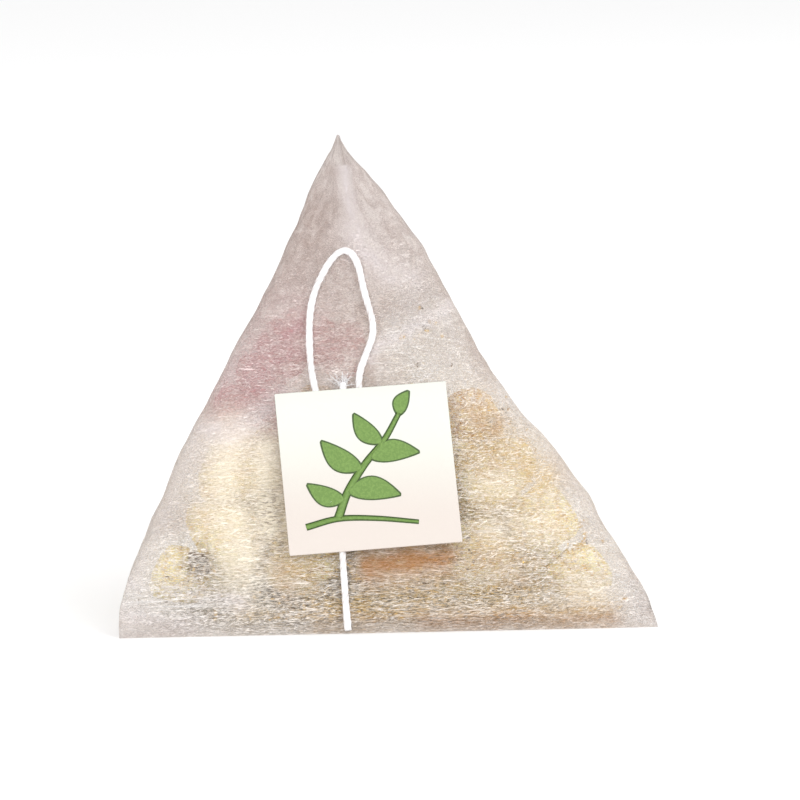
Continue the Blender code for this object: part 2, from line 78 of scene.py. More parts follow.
class Value:
    """A number that varies over a surface: a node's output, with the arithmetic that adds Math nodes."""

    def __init__(self, bench: "Bench", output: bpy.types.NodeSocket) -> None:
        """Keeps the output and the bench that its tree is on.

        Args:
            bench: The bench of the material.
            output: The node output that carries the number.
        """
        self.bench = bench
        self.output = output

    def _math(self, operation: str, first: "Value | float", second: "Value | float") -> "Value":
        """One Math node on two values."""
        node = self.bench.add("ShaderNodeMath", {"operation": operation}, {0: first, 1: second})
        return Value(self.bench, node.outputs[0])

    def __add__(self, other: "Value | float") -> "Value":
        """The sum."""
        return self._math("ADD", self, other)

    def __radd__(self, other: float) -> "Value":
        """The sum, with a plain number first."""
        return self._math("ADD", other, self)

    def __sub__(self, other: "Value | float") -> "Value":
        """The difference."""
        return self._math("SUBTRACT", self, other)

    def __rsub__(self, other: float) -> "Value":
        """The difference from a plain number."""
        return self._math("SUBTRACT", other, self)

    def __mul__(self, other: "Value | float") -> "Value":
        """The product."""
        return self._math("MULTIPLY", self, other)

    def __rmul__(self, other: float) -> "Value":
        """The product, with a plain number first."""
        return self._math("MULTIPLY", other, self)

    def above(self, other: "Value | float") -> "Value":
        """The larger of this and another value."""
        return self._math("MAXIMUM", self, other)

    def distance_to(self, centre: float) -> "Value":
        """How far the value is from a number, either way."""
        return self._math("ABSOLUTE", self - centre, 0.0)

    def step(self, low: float, high: float) -> "Value":
        """0 at low, 1 at high, smooth between. Low may be the larger of the two."""
        node = self.bench.add(
            "ShaderNodeMapRange",
            {"interpolation_type": "SMOOTHSTEP"},
            {"Value": self, "From Min": low, "From Max": high},
        )
        return Value(self.bench, node.outputs["Result"])


class Bench:
    """A material's node tree, with one way to add a node."""

    def __init__(self, name: str) -> None:
        """Makes an empty material.

        Args:
            name: The material's name.
        """
        self.material = bpy.data.materials.new(name)
        self.material.use_nodes = True
        self.tree = self.material.node_tree
        self.tree.nodes.clear()
        self.end = self.tree.nodes.new("ShaderNodeOutputMaterial")

    def add(self, kind: str, settings: dict | None = None, inputs: dict | None = None) -> bpy.types.Node:
        """Adds a node.

        Args:
            kind: The node's type.
            settings: Its properties, which are set first.
            inputs: Sockets by name or number, each with a value, a colour or a link.

        Returns:
            The new node.
        """
        node = self.tree.nodes.new(kind)
        for key, setting in (settings or {}).items():
            setattr(node, key, setting)
        for key, given in (inputs or {}).items():
            source = given.output if isinstance(given, Value) else given
            if isinstance(source, bpy.types.NodeSocket):
                self.tree.links.new(source, node.inputs[key])
            else:
                node.inputs[key].default_value = source
        return node

    def blend(self, factor: Value, first: object, second: object) -> bpy.types.NodeSocket:
        """A colour between two."""
        node = self.add("ShaderNodeMix", {"data_type": "RGBA"}, {0: factor, 6: first, 7: second})
        return node.outputs[2]

    def attribute(self, name: str) -> Value:
        """A number that each point of the mesh carries."""
        node = self.add("ShaderNodeAttribute", {"attribute_name": name})
        return Value(self, node.outputs["Fac"])

    def place(self) -> bpy.types.NodeSocket:
        """The place on the object, in metres."""
        return self.add("ShaderNodeTexCoord").outputs["Object"]

    def unrolled(self) -> bpy.types.NodeSocket:
        """The place on the piece laid flat, in millimetres."""
        return self.add("ShaderNodeUVMap", {"uv_map": FLAT_MAP}).outputs["UV"]

    def turned(
        self, vector: bpy.types.NodeSocket, turn: float, scale: tuple, shift: float = 0.0
    ) -> bpy.types.NodeSocket:
        """A vector shifted and turned about Z, and then scaled on each axis."""
        move = {"Rotation": (0.0, 0.0, turn), "Location": (shift, shift, 0.0)}
        spun = self.add("ShaderNodeMapping", {}, {"Vector": vector, **move}).outputs["Vector"]
        return self.add("ShaderNodeMapping", {}, {"Vector": spun, "Scale": scale}).outputs["Vector"]

    def grain(
        self,
        vector: bpy.types.NodeSocket,
        scale: float,
        detail: float = 2.0,
        roughness: float = 0.5,
        distortion: float = 0.0,
    ) -> Value:
        """Smooth noise between about 0.2 and 0.8.

        Args:
            vector: Where the noise is read.
            scale: Its spots for each unit of the vector.
            detail: How many finer layers it has.
            roughness: How strong the finer layers are.
            distortion: How much it is swirled.

        Returns:
            The noise.
        """
        finer = {"Detail": detail, "Roughness": roughness, "Distortion": distortion}
        node = self.add("ShaderNodeTexNoise", {}, {"Vector": vector, "Scale": scale, **finer})
        return Value(self, node.outputs["Fac"])

    def bump(self, height: Value, depth: float) -> bpy.types.NodeSocket:
        """A surface direction from a height map.

        Args:
            height: The height, from 0 to 1.
            depth: The depth of that range in metres.

        Returns:
            The bent surface direction.
        """
        node = self.add("ShaderNodeBump", {}, {"Height": height, "Distance": depth, "Strength": 1.0})
        return node.outputs["Normal"]

    def principled(self, inputs: dict) -> bpy.types.Node:
        """The main shader, not metallic unless told."""
        return self.add("ShaderNodeBsdfPrincipled", {}, {"Metallic": 0.0, **inputs})

    def mixed(self, share: Value | float, first: bpy.types.Node, second: bpy.types.Node) -> bpy.types.Node:
        """A shader between two."""
        return self.add("ShaderNodeMixShader", {}, {0: share, 1: first.outputs[0], 2: second.outputs[0]})

    def close(self, shader: bpy.types.Node) -> bpy.types.Material:
        """Links the last shader to the output and gives the material."""
        self.tree.links.new(shader.outputs[0], self.end.inputs["Surface"])
        return self.material


class Trace(Enum):
    """What shows at some places of the front cloth, with the name of its attribute."""

    SHADE = "shade"  # the back face behind lies in shade
    BLUSH = "blush"  # petals further in
    # Brown slices further in; below the tag's lower edge also the tag's shadow, painted in warm brown.
    AMBER_AND_TAG_SHADOW = "amber_and_tag_shadow"  # brown slices further in
    GOLD = "gold"  # small broken fruit
    CREAM = "cream"  # pale fruit, blurred by thicker cloth
    # A second layer close behind; along the crease also a painted highlight, where the cloth below it catches
    # the light.
    HAZE_AND_HIGHLIGHT = "haze_and_highlight"  # a second layer close behind
    SPECK = "speck"  # dark leaf between the fibres
    STREAK = "streak"  # pale drawn-out fibres


@dataclass(frozen=True)
class Tint:
    """What a trace does to the cloth: its colour, and how much more the cloth hides there."""

    trace: Trace
    colour: tuple
    cover: float


@dataclass(frozen=True)
class FibreLayer:
    """Thin lines that run one way: radians from the round of the tube, and millimetres."""

    turn: float
    length: float
    width: float
    fineness: float  # half the share of the noise's range that makes a line
    shift: float


@dataclass(frozen=True)
class ClothFinish:
    """Thin nonwoven: pale curly fibres, mostly along the tube's round, with open places between them."""

    name: str = "nonwoven cloth"
    pale: tuple = (0.90, 0.825, 0.785, 1.0)
    shaded: tuple = (0.42, 0.30, 0.27, 1.0)
    bright: tuple = (1.0, 0.97, 0.955, 1.0)
    veil: tuple = (0.98, 0.885, 0.69, 1.0)  # where it lies on the filling
    leaf: tuple = (0.10, 0.06, 0.028, 1.0)  # dark leaf in the open places
    tints: tuple = (
        Tint(Trace.SHADE, (0.35, 0.225, 0.185, 1.0), 0.06),
        Tint(Trace.BLUSH, (0.52, 0.24, 0.26, 1.0), 0.34),
        Tint(Trace.GOLD, (0.76, 0.48, 0.10, 1.0), 0.46),
        # the tag's painted shadow, together with brown slices
        Tint(Trace.AMBER_AND_TAG_SHADOW, (0.38, 0.14, 0.01, 1.0), 0.55),
        Tint(Trace.CREAM, (1.0, 0.915, 0.74, 1.0), 0.72),
        # a second layer, and the painted highlight along the crease
        Tint(Trace.HAZE_AND_HIGHLIGHT, (0.91, 0.83, 0.84, 1.0), 0.30),
    )
    far_cover: float = 0.84  # share that the cloth hides where nothing is near behind it
    near_cover: float = 0.37  # and where it lies on the filling
    weld_cover: float = 0.66  # of either, on a seal, where two layers are pressed together
    least_cover: float = 0.05
    through: float = 0.30  # share of the light on the cloth that goes on inwards
    layers: tuple = (
        FibreLayer(0.04, 1.7, 0.14, 0.038, 0.0),
        FibreLayer(0.35, 1.4, 0.13, 0.034, 31.0),
        FibreLayer(-0.30, 1.5, 0.13, 0.034, 67.0),
        FibreLayer(-0.85, 1.0, 0.13, 0.030, 13.0),
    )
    streak_length: float = 4.5  # millimetres, as the next five are
    streak_width: float = 0.32
    clump: float = 1.9
    cloud: float = 7.0
    grain: float = 0.16
    speck: float = 0.20
    clump_cover: float = 0.16  # how much each of them changes what the cloth hides
    cloud_cover: float = 0.12
    far_contrast: float = 0.12  # of fibres and of grain, where nothing is near behind them
    near_fibres: float = 0.55  # added to it where the cloth lies on the filling
    near_grain: float = 0.50
    tint_least: float = 0.40  # of a tint that shows all over
    tint_clumps: float = 0.45  # more of it between the clumps
    tint_clouds: float = 0.25
    streak_cover: float = 0.50
    speck_cover: float = 0.45
    speck_colour: float = 0.90
    far_bright: float = 0.35  # how bright a fibre is
    near_bright: float = 0.45  # added to it on the filling
    roughness: float = 0.85
    relief: float = 0.07 * MM

    def fibres(self, bench: Bench, flat: bpy.types.NodeSocket) -> Value:
        """Thin curly lines in several directions."""
        lines = None
        for layer in self.layers:
            stretched = bench.turned(flat, layer.turn, (1 / layer.length, 1 / layer.width, 1.0), layer.shift)
            wave = bench.grain(stretched, 1.0, detail=1.0, distortion=1.1)
            line = wave.distance_to(0.5).step(layer.fineness, 0.25 * layer.fineness)
            lines = line if lines is None else lines.above(line)
        return lines

    def streaks(self, bench: Bench, flat: bpy.types.NodeSocket) -> Value:
        """Pale drawn-out lines round the tube."""
        long = bench.turned(flat, 0.03, (1 / self.streak_length, 1 / self.streak_width, 1.0), 5.0)
        return bench.grain(long, 1.0, detail=2.0, distortion=0.3).step(0.50, 0.62)

    def make(self) -> bpy.types.Material:
        """The material."""
        bench = Bench(self.name)
        flat = bench.unrolled()
        calm = bench.attribute(Trace.AMBER_AND_TAG_SHADOW.value) * 0.5 + bench.attribute(Trace.CREAM.value) * 0.5
        fibres = self.fibres(bench, flat) * (1.0 - calm)
        clumps = bench.grain(flat, 1 / self.clump, detail=3.0, roughness=0.6, distortion=0.5).step(0.33, 0.67)
        clouds = bench.grain(flat, 1 / self.cloud, detail=2.0).step(0.35, 0.65)
        stretched = bench.turned(flat, 0.1, (0.55, 1.0, 1.0))
        grain = bench.grain(stretched, 1 / self.grain, detail=1.0).step(0.36, 0.64)
        near = bench.attribute(CLOSENESS)
        weld = bench.attribute(WELD)
        cover = self.far_cover + near * (self.near_cover - self.far_cover)
        cover = cover + (clumps - 0.5) * self.clump_cover + (clouds - 0.5) * self.cloud_cover
        cover = cover + (fibres - 0.3) * (self.far_contrast + near * self.near_fibres)
        cover = cover + (grain - 0.5) * (1.0 - calm) * (self.far_contrast + near * self.near_grain)
        colour = bench.blend(clumps * 0.5 + clouds * 0.2 + grain * 0.3, self.shaded, self.pale)
        colour = bench.blend(near * 0.5, colour, self.veil)
        open_share = self.tint_least + (1.0 - clumps) * self.tint_clumps + (1.0 - clouds) * self.tint_clouds
        for tint in self.tints:
            share = bench.attribute(tint.trace.value) * open_share
            colour = bench.blend(share, colour, tint.colour)
            cover = cover + share * tint.cover
        specks = bench.grain(bench.turned(flat, 0.1, (0.6, 1.0, 1.0), 9.0), 1 / self.speck, detail=1.0)
        specks = specks.step(0.54, 0.62) * bench.attribute(Trace.SPECK.value)
        colour = bench.blend(specks * self.speck_colour, colour, self.leaf)
        streaks = self.streaks(bench, flat) * bench.attribute(Trace.STREAK.value)
        cover = cover * (1.0 - weld * (1.0 - self.weld_cover))
        cover = (cover + streaks * self.streak_cover + specks * self.speck_cover).above(self.least_cover)
        bright = fibres * (self.far_bright + near * self.near_bright)
        colour = bench.blend(bright.above(streaks), colour, self.bright)
        relief = bench.bump(fibres * 0.6 + clumps * 0.5 + grain * 0.2, self.relief)
        face = bench.principled({"Base Color": colour, "Roughness": self.roughness, "Normal": relief})
        glow = bench.add("ShaderNodeBsdfTranslucent", {}, {"Color": self.pale, "Normal": relief})
        cloth = bench.mixed(self.through, face, glow)
        return bench.close(bench.mixed(cover, bench.add("ShaderNodeBsdfTransparent"), cloth))


@dataclass(frozen=True)
class DriedFinish:
    """A dried plant piece: two colours in patches, darker folds and a wrinkled skin. The folds' colour is
    painted shade, on petals together with the darker tone of their veins and rims.
    """

    name: str
    light: tuple
    dark: tuple
    # painted shade in the hollows; on petals also the tone of veins and rims
    fold_shade: tuple
    roughness: float = 0.65
    patch: float = 260.0  # spots for each metre
    wrinkle: float = 1400.0
    relief: float = 0.10 * MM

    def make(self) -> bpy.types.Material:
        """The material."""
        bench = Bench(self.name)
        place = bench.place()
        patches = bench.grain(place, self.patch, detail=3.0, roughness=0.6).step(0.35, 0.65)
        wrinkles = bench.grain(place, self.wrinkle, detail=4.0, roughness=0.65)
        # The folds get painted shade.
        folds = bench.attribute(FOLD_SHADE)
        colour = bench.blend(patches, self.light, self.dark)
        colour = bench.blend(folds.step(0.15, 0.95), colour, self.fold_shade)
        face = bench.principled(
            {
                "Base Color": colour,
                "Roughness": self.roughness + (wrinkles - 0.5) * 0.3,
                "Normal": bench.bump(wrinkles, self.relief),
                "Subsurface Weight": 0.15,
                "Subsurface Radius": (1.0, 0.7, 0.4),
                "Subsurface Scale": 0.8 * MM,
            }
        )
        return bench.close(face)


@dataclass(frozen=True)
class CottonFinish:
    """Bleached cotton: nearly white, with painted shade in the grooves between the plies."""

    name: str = "cotton string"
    white: tuple = (0.78, 0.77, 0.775, 1.0)
    # painted shade in the grooves between the plies
    groove: tuple = (0.62, 0.58, 0.57, 1.0)

    def make(self) -> bpy.types.Material:
        """The material."""
        bench = Bench(self.name)
        grain = bench.grain(bench.place(), 5200.0, detail=2.0)
        # Painted shade, darker towards the thread's middle between the plies.
        colour = bench.blend(bench.attribute(FOLD_SHADE).step(0.2, 1.0), self.white, self.groove)
        face = bench.principled(
            {
                "Base Color": colour,
                "Roughness": 0.88,
                "Normal": bench.bump(grain, 0.04 * MM),
                "Sheen Weight": 0.25,
            }
        )
        return bench.close(face)


@dataclass(frozen=True)
class CardFinish:
    """Uncoated cream card, with short paper fibres, and painted shade that makes its lower part darker and
    warmer.
    """

    name: str = "white card"
    cream: tuple = (0.585, 0.60, 0.55, 1.0)
    # painted shade on the lower part of the card
    low_shade: tuple = (0.55, 0.495, 0.455, 1.0)
    level: float = 18 * MM  # above the floor, where one fades into the other
    fade: float = 12 * MM

    def make(self) -> bpy.types.Material:
        """The material."""
        bench = Bench(self.name)
        place = bench.place()
        up = Value(bench, bench.add("ShaderNodeSeparateXYZ", {}, {0: place}).outputs[2])
        # Painted shade: darker and warmer towards the bottom of the card.
        clear_of_shade = up.step(self.level - self.fade / 2, self.level + self.fade / 2)
        fibre = bench.grain(bench.turned(place, 0.3, (1.0, 2.6, 1.0)), 2600.0, detail=3.0)
        face = bench.principled(
            {
                "Base Color": bench.blend(clear_of_shade, self.low_shade, self.cream),
                "Roughness": 0.55 + (fibre - 0.5) * 0.3,
                "Normal": bench.bump(fibre, 0.015 * MM),
            }
        )
        return bench.close(face)


@dataclass(frozen=True)
class InkFinish:
    """Matt green ink, a little uneven."""

    name: str
    full: tuple
    thin: tuple

    def make(self) -> bpy.types.Material:
        """The material."""
        bench = Bench(self.name)
        mottle = bench.grain(bench.place(), 3600.0, detail=3.0, roughness=0.7)
        face = bench.principled(
            {
                "Base Color": bench.blend(mottle.step(0.40, 0.66), self.full, self.thin),
                "Roughness": 0.5 + (mottle - 0.5) * 0.4,
                "Normal": bench.bump(mottle, 0.01 * MM),
            }
        )
        return bench.close(face)


@dataclass(frozen=True)
class FloorFinish:
    """Plain pale studio floor."""

    name: str = "studio floor"
    pale: tuple = (0.93, 0.93, 0.93, 1.0)

    def make(self) -> bpy.types.Material:
        """The material."""
        bench = Bench(self.name)
        return bench.close(bench.principled({"Base Color": self.pale, "Roughness": 0.9}))


# Helpers for meshes


def clear_selection() -> None:
    """Deselects everything."""
    bpy.ops.object.select_all(action="DESELECT")


def choose(obj: bpy.types.Object) -> None:
    """Selects one object and makes it the active one."""
    clear_selection()
    obj.select_set(True)
    bpy.context.view_layer.objects.active = obj


def corners_of(obj: bpy.types.Object) -> np.ndarray:
    """The vertices of a mesh, one row each."""
    flat = np.empty(len(obj.data.vertices) * 3)
    obj.data.vertices.foreach_get("co", flat)
    return flat.reshape(-1, 3)


def set_corners(obj: bpy.types.Object, points: np.ndarray) -> None:
    """Moves the vertices of a mesh."""
    obj.data.vertices.foreach_set("co", np.asarray(points, dtype=np.float32).ravel())
    obj.data.update()


def set_attribute(obj: bpy.types.Object, name: str, numbers: np.ndarray) -> None:
    """Gives each point of a mesh a number for the shaders."""
    layer = obj.data.attributes.new(name, "FLOAT", "POINT")
    layer.data.foreach_set("value", np.asarray(numbers, dtype=np.float32))


def smooth_step(value: np.ndarray) -> np.ndarray:
    """0 below 0, 1 above 1, and a smooth rise between."""
    value = np.clip(value, 0.0, 1.0)
    return value * value * (3.0 - 2.0 * value)


def softened(row: np.ndarray) -> np.ndarray:
    """Each inner entry, evened out with its two neighbours."""
    return (2 * row[1:-1] + row[:-2] + row[2:]) / 4


def unit(vector: np.ndarray) -> np.ndarray:
    """The vector's direction, with length 1."""
    return vector / np.linalg.norm(vector)


def headings(path: np.ndarray) -> np.ndarray:
    """The direction of a path at each of its points."""
    ahead = np.gradient(path, axis=0)
    return ahead / np.linalg.norm(ahead, axis=1)[:, None]


def box_middle(points: np.ndarray) -> np.ndarray:
    """The middle of the box round some points."""
    return (points.min(axis=0) + points.max(axis=0)) / 2


def mesh_from(name: str, points: np.ndarray, faces: list) -> bpy.types.Object:
    """A smooth-shaded object from points and faces."""
    mesh = bpy.data.meshes.new(name)
    mesh.from_pydata([tuple(point) for point in points], [], faces)
    mesh.validate()
    mesh.shade_smooth()
    obj = bpy.data.objects.new(name, mesh)
    bpy.context.scene.collection.objects.link(obj)
    return obj


def edit(obj: bpy.types.Object, *steps: tuple) -> None:
    """Shapes all of an object's mesh in edit mode.

    Args:
        obj: The object.
        steps: The operators in order, each with its settings.
    """
    choose(obj)
    bpy.ops.object.mode_set(mode="EDIT")
    bpy.ops.mesh.select_all(action="SELECT")
    for operator, settings in steps:
        operator(**settings)
    bpy.ops.object.mode_set(mode="OBJECT")


def apply_modifiers(obj: bpy.types.Object) -> None:
    """Applies every modifier of an object, in order."""
    choose(obj)
    for modifier in list(obj.modifiers):
        bpy.ops.object.modifier_apply(modifier=modifier.name)


def join(objects: list, name: str) -> bpy.types.Object:
    """Makes several objects one, which keeps the first one's mesh data."""
    clear_selection()
    for obj in objects:
        obj.select_set(True)
    bpy.context.view_layer.objects.active = objects[0]
    bpy.ops.object.join()
    objects[0].name = name
    objects[0].data.name = name
    return objects[0]


def ride(obj: bpy.types.Object, material: bpy.types.Material) -> None:
    """Dresses a piece, and lets it move with the body."""
    obj.data.materials.clear()
    obj.data.materials.append(material)
    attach(obj, BODY)
    LOG.info("%s: %d faces", obj.name, len(obj.data.polygons))


def smooth_route(points: tuple, step: float) -> np.ndarray:
    """Evenly spaced points of a smooth curve through the given ones.

    Args:
        points: The chosen points.
        step: The distance between two points of the result.

    Returns:
        The points of the curve, one row each.
    """
    points = np.array(points)
    knots = np.vstack([2 * points[0] - points[1], points, 2 * points[-1] - points[-2]])
    fine = []
    for a, b, c, d in zip(knots, knots[1:], knots[2:], knots[3:]):
        for s in np.linspace(0.0, 1.0, 24, endpoint=False):
            fine.append(b + 0.5 * s * (c - a + s * (2 * a - 5 * b + 4 * c - d + s * (3 * (b - c) + d - a))))
    fine = np.array(fine + [points[-1]])
    run = np.concatenate([[0.0], np.cumsum(np.linalg.norm(np.diff(fine, axis=0), axis=1))])
    even = np.linspace(0.0, run[-1], round(run[-1] / step) + 1)
    return np.stack([np.interp(even, run, fine[:, axis]) for axis in range(points.shape[1])], axis=1)


def tube(path: np.ndarray, sides: int, outline: object) -> tuple[np.ndarray, list]:
    """A closed tube along a path.

    Args:
        path: The points of its middle.
        sides: The points round it.
        outline: Gives the radii round the tube from the angles there and the number of the path's point.

    Returns:
        The points and the faces of the tube.
    """
    ahead = headings(path)
    side = np.cross(ahead[0], (0.0, 0.0, 1.0) if abs(ahead[0][2]) < 0.9 else (1.0, 0.0, 0.0))
    angles = np.linspace(0.0, math.tau, sides, endpoint=False)
    rings = []
    for i, (place, along) in enumerate(zip(path, ahead)):
        side = unit(side - (side @ along) * along)
        other = np.cross(along, side)
        radius = outline(angles, i)[:, None]
        rings.append(place + radius * (np.cos(angles)[:, None] * side + np.sin(angles)[:, None] * other))
    points = np.concatenate(rings)
    faces = []
    for i in range(len(path) - 1):
        for j in range(sides):
            k = (j + 1) % sides
            faces.append((i * sides + j, i * sides + k, (i + 1) * sides + k, (i + 1) * sides + j))
    faces.append(tuple(range(sides - 1, -1, -1)))
    faces.append(tuple(range((len(path) - 1) * sides, len(path) * sides)))
    return points, faces


# The cloth


@dataclass
class BagForm:
    """The skin as a formula: sections that turn from the flat front seal into the flat back seal.

    Its sizes are those of the solids. Its own frame has the lower edge of the front seal at y = 0 and z = 0.
    """

    seal_length: float = 62 * MM
    face_height: float = 55.5 * MM
    bottom_seal: float = 4 * MM
    weld_height: float = 1.1 * MM  # of the part of that band that is really welded
    weld_fade: float = 0.8 * MM
    top_seal: float = 2.6 * MM
    top_fold: float = math.radians(122)
    top_trim: float = 0.65
    fold_radius: float = 0.6 * MM
    seal_thickness: float = 0.24 * MM
    apex_offset: float = 3.6 * MM
    heel_height: float = 0.8 * MM
    settle: float = 3.5 * MM
    settle_reach: float = 22 * MM
    low_radius: float = 6.5 * MM
    high_radius: float = 1.0 * MM
    most_round: float = 0.95
    side_points: int = 76
    sections: int = 140
    seal_rows: int = 10

    def __post_init__(self) -> None:
        """Works out the corners and directions."""
        crossing = math.sqrt(self.seal_length**2 - 4 * self.apex_offset**2)
        opening = 2 * math.asin(crossing / (2 * self.face_height))
        lean = opening
        for _ in range(8):
            lift = self.bottom_seal * math.sin(lean)
            tilt = math.asin((lift - self.heel_height) / self.face_height)
            lean = opening - tilt
        self.up_face = np.array([0.0, math.cos(lean), math.sin(lean)])
        self.front = self.bottom_seal * self.up_face
        sideways = np.array([self.apex_offset, 0.0, 0.0])
        back = np.array([0.0, math.cos(tilt), -math.sin(tilt)])
        self.heel = self.front + self.face_height * back + sideways
        self.apex = self.front + self.face_height * self.up_face - sideways
        self.rear = (self.heel + self.apex) / 2
        self.across = np.array([1.0, 0.0, 0.0])
        self.along_ridge = (self.heel - self.apex) / self.seal_length
        self.outwards = unit(self.rear - self.front)

    def square(self) -> np.ndarray:
        """Points round a unit square: the front side first, then right, underside and left."""
        spread = np.linspace(-1.0, 1.0, self.side_points, endpoint=False)
        run = 0.5 * spread + 0.5 * np.sin(spread * math.pi / 2)
        edge = np.ones(self.side_points)
        sides = ((run, -edge), (edge, run), (-run, edge), (-edge, -run))
        return np.concatenate([np.stack(side, axis=1) for side in sides])

    def place(self, middle: np.ndarray, points: np.ndarray) -> np.ndarray:
        """Puts points of a section, across and along the back ridge, in space."""
        return middle + points[:, :1] * self.across + points[:, 1:] * self.along_ridge

    def section(self, share: float) -> np.ndarray:
        """The ring of points at a share of the way from the front seal to the back one."""
        square = self.square()
        thin = self.seal_thickness / 2
        long = self.seal_length / 2
        half = np.array([long * (1 - share) + thin * share, long * share + thin * (1 - share)])
        middle = self.front + share * (self.rear - self.front)
        height = self.place(middle, square * half)[:, 2] / self.apex[2]
        radius = self.low_radius + (self.high_radius - self.low_radius) * smooth_step(height)
        radius = np.minimum(radius, self.most_round * half.min())
        rounded = self.round_corners(square, half, radius)
        length = np.linalg.norm(rounded - np.roll(rounded, -1, axis=0), axis=1).sum()
        swell = 4 * half.sum() / length
        rounded = self.round_corners(square, swell * half, swell * radius)
        return self.settled(self.place(middle, rounded))

    @staticmethod
    def round_corners(square: np.ndarray, half: np.ndarray, radius: np.ndarray) -> np.ndarray:
        """The square stretched to a rectangle of these half sizes, with round corners."""
        points = square * half
        radius = radius[:, None]
        core = np.clip(points, radius - half, half - radius)
        out = points - core
        return core + radius * out / np.maximum(np.linalg.norm(out, axis=1), 1e-9)[:, None]

    def settled(self, points: np.ndarray) -> np.ndarray:
        """Lowers the underside under the weight of the filling, down to what the bag stands on."""
        depth = np.clip((points[:, 1] - self.front[1]) / (self.heel[1] - self.front[1]), 0.0, 1.0)
        belly = np.sqrt(np.sin(math.pi * depth))
        low = 1 - smooth_step(points[:, 2] / self.settle_reach)
        lowered = points.copy()
        lowered[:, 2] -= self.settle * belly * low
        return lowered

    def bottom_band(self) -> list:
        """The rings of the front seal's band, from its lower edge to the face."""
        points = self.square() * (self.seal_length / 2, self.seal_thickness / 2)
        inwards = np.array([0.0, self.up_face[2], -self.up_face[1]])
        flat = points[:, :1] * self.across + points[:, 1:] * inwards
        drops = np.linspace(self.bottom_seal, 0.0, self.seal_rows, endpoint=False)
        return [self.front - drop * self.up_face + flat for drop in drops]

    def top_band(self) -> list:
        """The rings of the back seal's band, which turns over to the right and then runs straight."""
        right = unit(self.across - (self.across @ self.along_ridge) * self.along_ridge)
        turns = np.linspace(0.0, self.top_fold, self.seal_rows)
        bend = turns[1]
        middle = self.rear.copy()
        rings = []
        for turn in turns[1:]:
            mean = turn - bend / 2
            step = math.cos(mean) * self.outwards + math.sin(mean) * right
            middle = middle + self.fold_radius * bend * step
            thick = math.cos(turn) * right - math.sin(turn) * self.outwards
            rings.append(self.top_ring(middle, thick, self.fold_radius * turn))
        bent = self.fold_radius * self.top_fold
        ahead = math.cos(self.top_fold) * self.outwards + math.sin(self.top_fold) * right
        for run in np.linspace(0.0, self.top_seal - bent, 4)[1:]:
            rings.append(self.top_ring(middle + run * ahead, thick, bent + run))
        return rings

    def top_ring(self, middle: np.ndarray, thick: np.ndarray, width: float) -> np.ndarray:
        """A ring of the back seal's band, this far from the ridge, with its upper end trimmed."""
        points = self.square() * (self.seal_thickness / 2, self.seal_length / 2)
        along = points[:, 1:] + self.top_trim * width * (0.5 - points[:, 1:] / self.seal_length)
        return middle + points[:, :1] * thick + along * self.along_ridge

    def grid(self) -> tuple[np.ndarray, np.ndarray]:
        """All rings of the skin, and for each ring 1 where it is welded, down to 0 where it is open."""
        even = np.linspace(0.0, 1.0, self.sections)
        stations = 0.6 * even + 0.4 * (1 - np.cos(even * math.pi)) / 2
        low = self.bottom_band()
        middle = [self.section(share) for share in stations]
        high = self.top_band()
        heights = np.arange(len(low)) * self.bottom_seal / self.seal_rows
        weld = 1 - smooth_step((heights - self.weld_height) / self.weld_fade)
        weld = np.concatenate([weld, np.zeros(len(middle)), np.ones(len(high))])
        return np.array(low + middle + high), weld


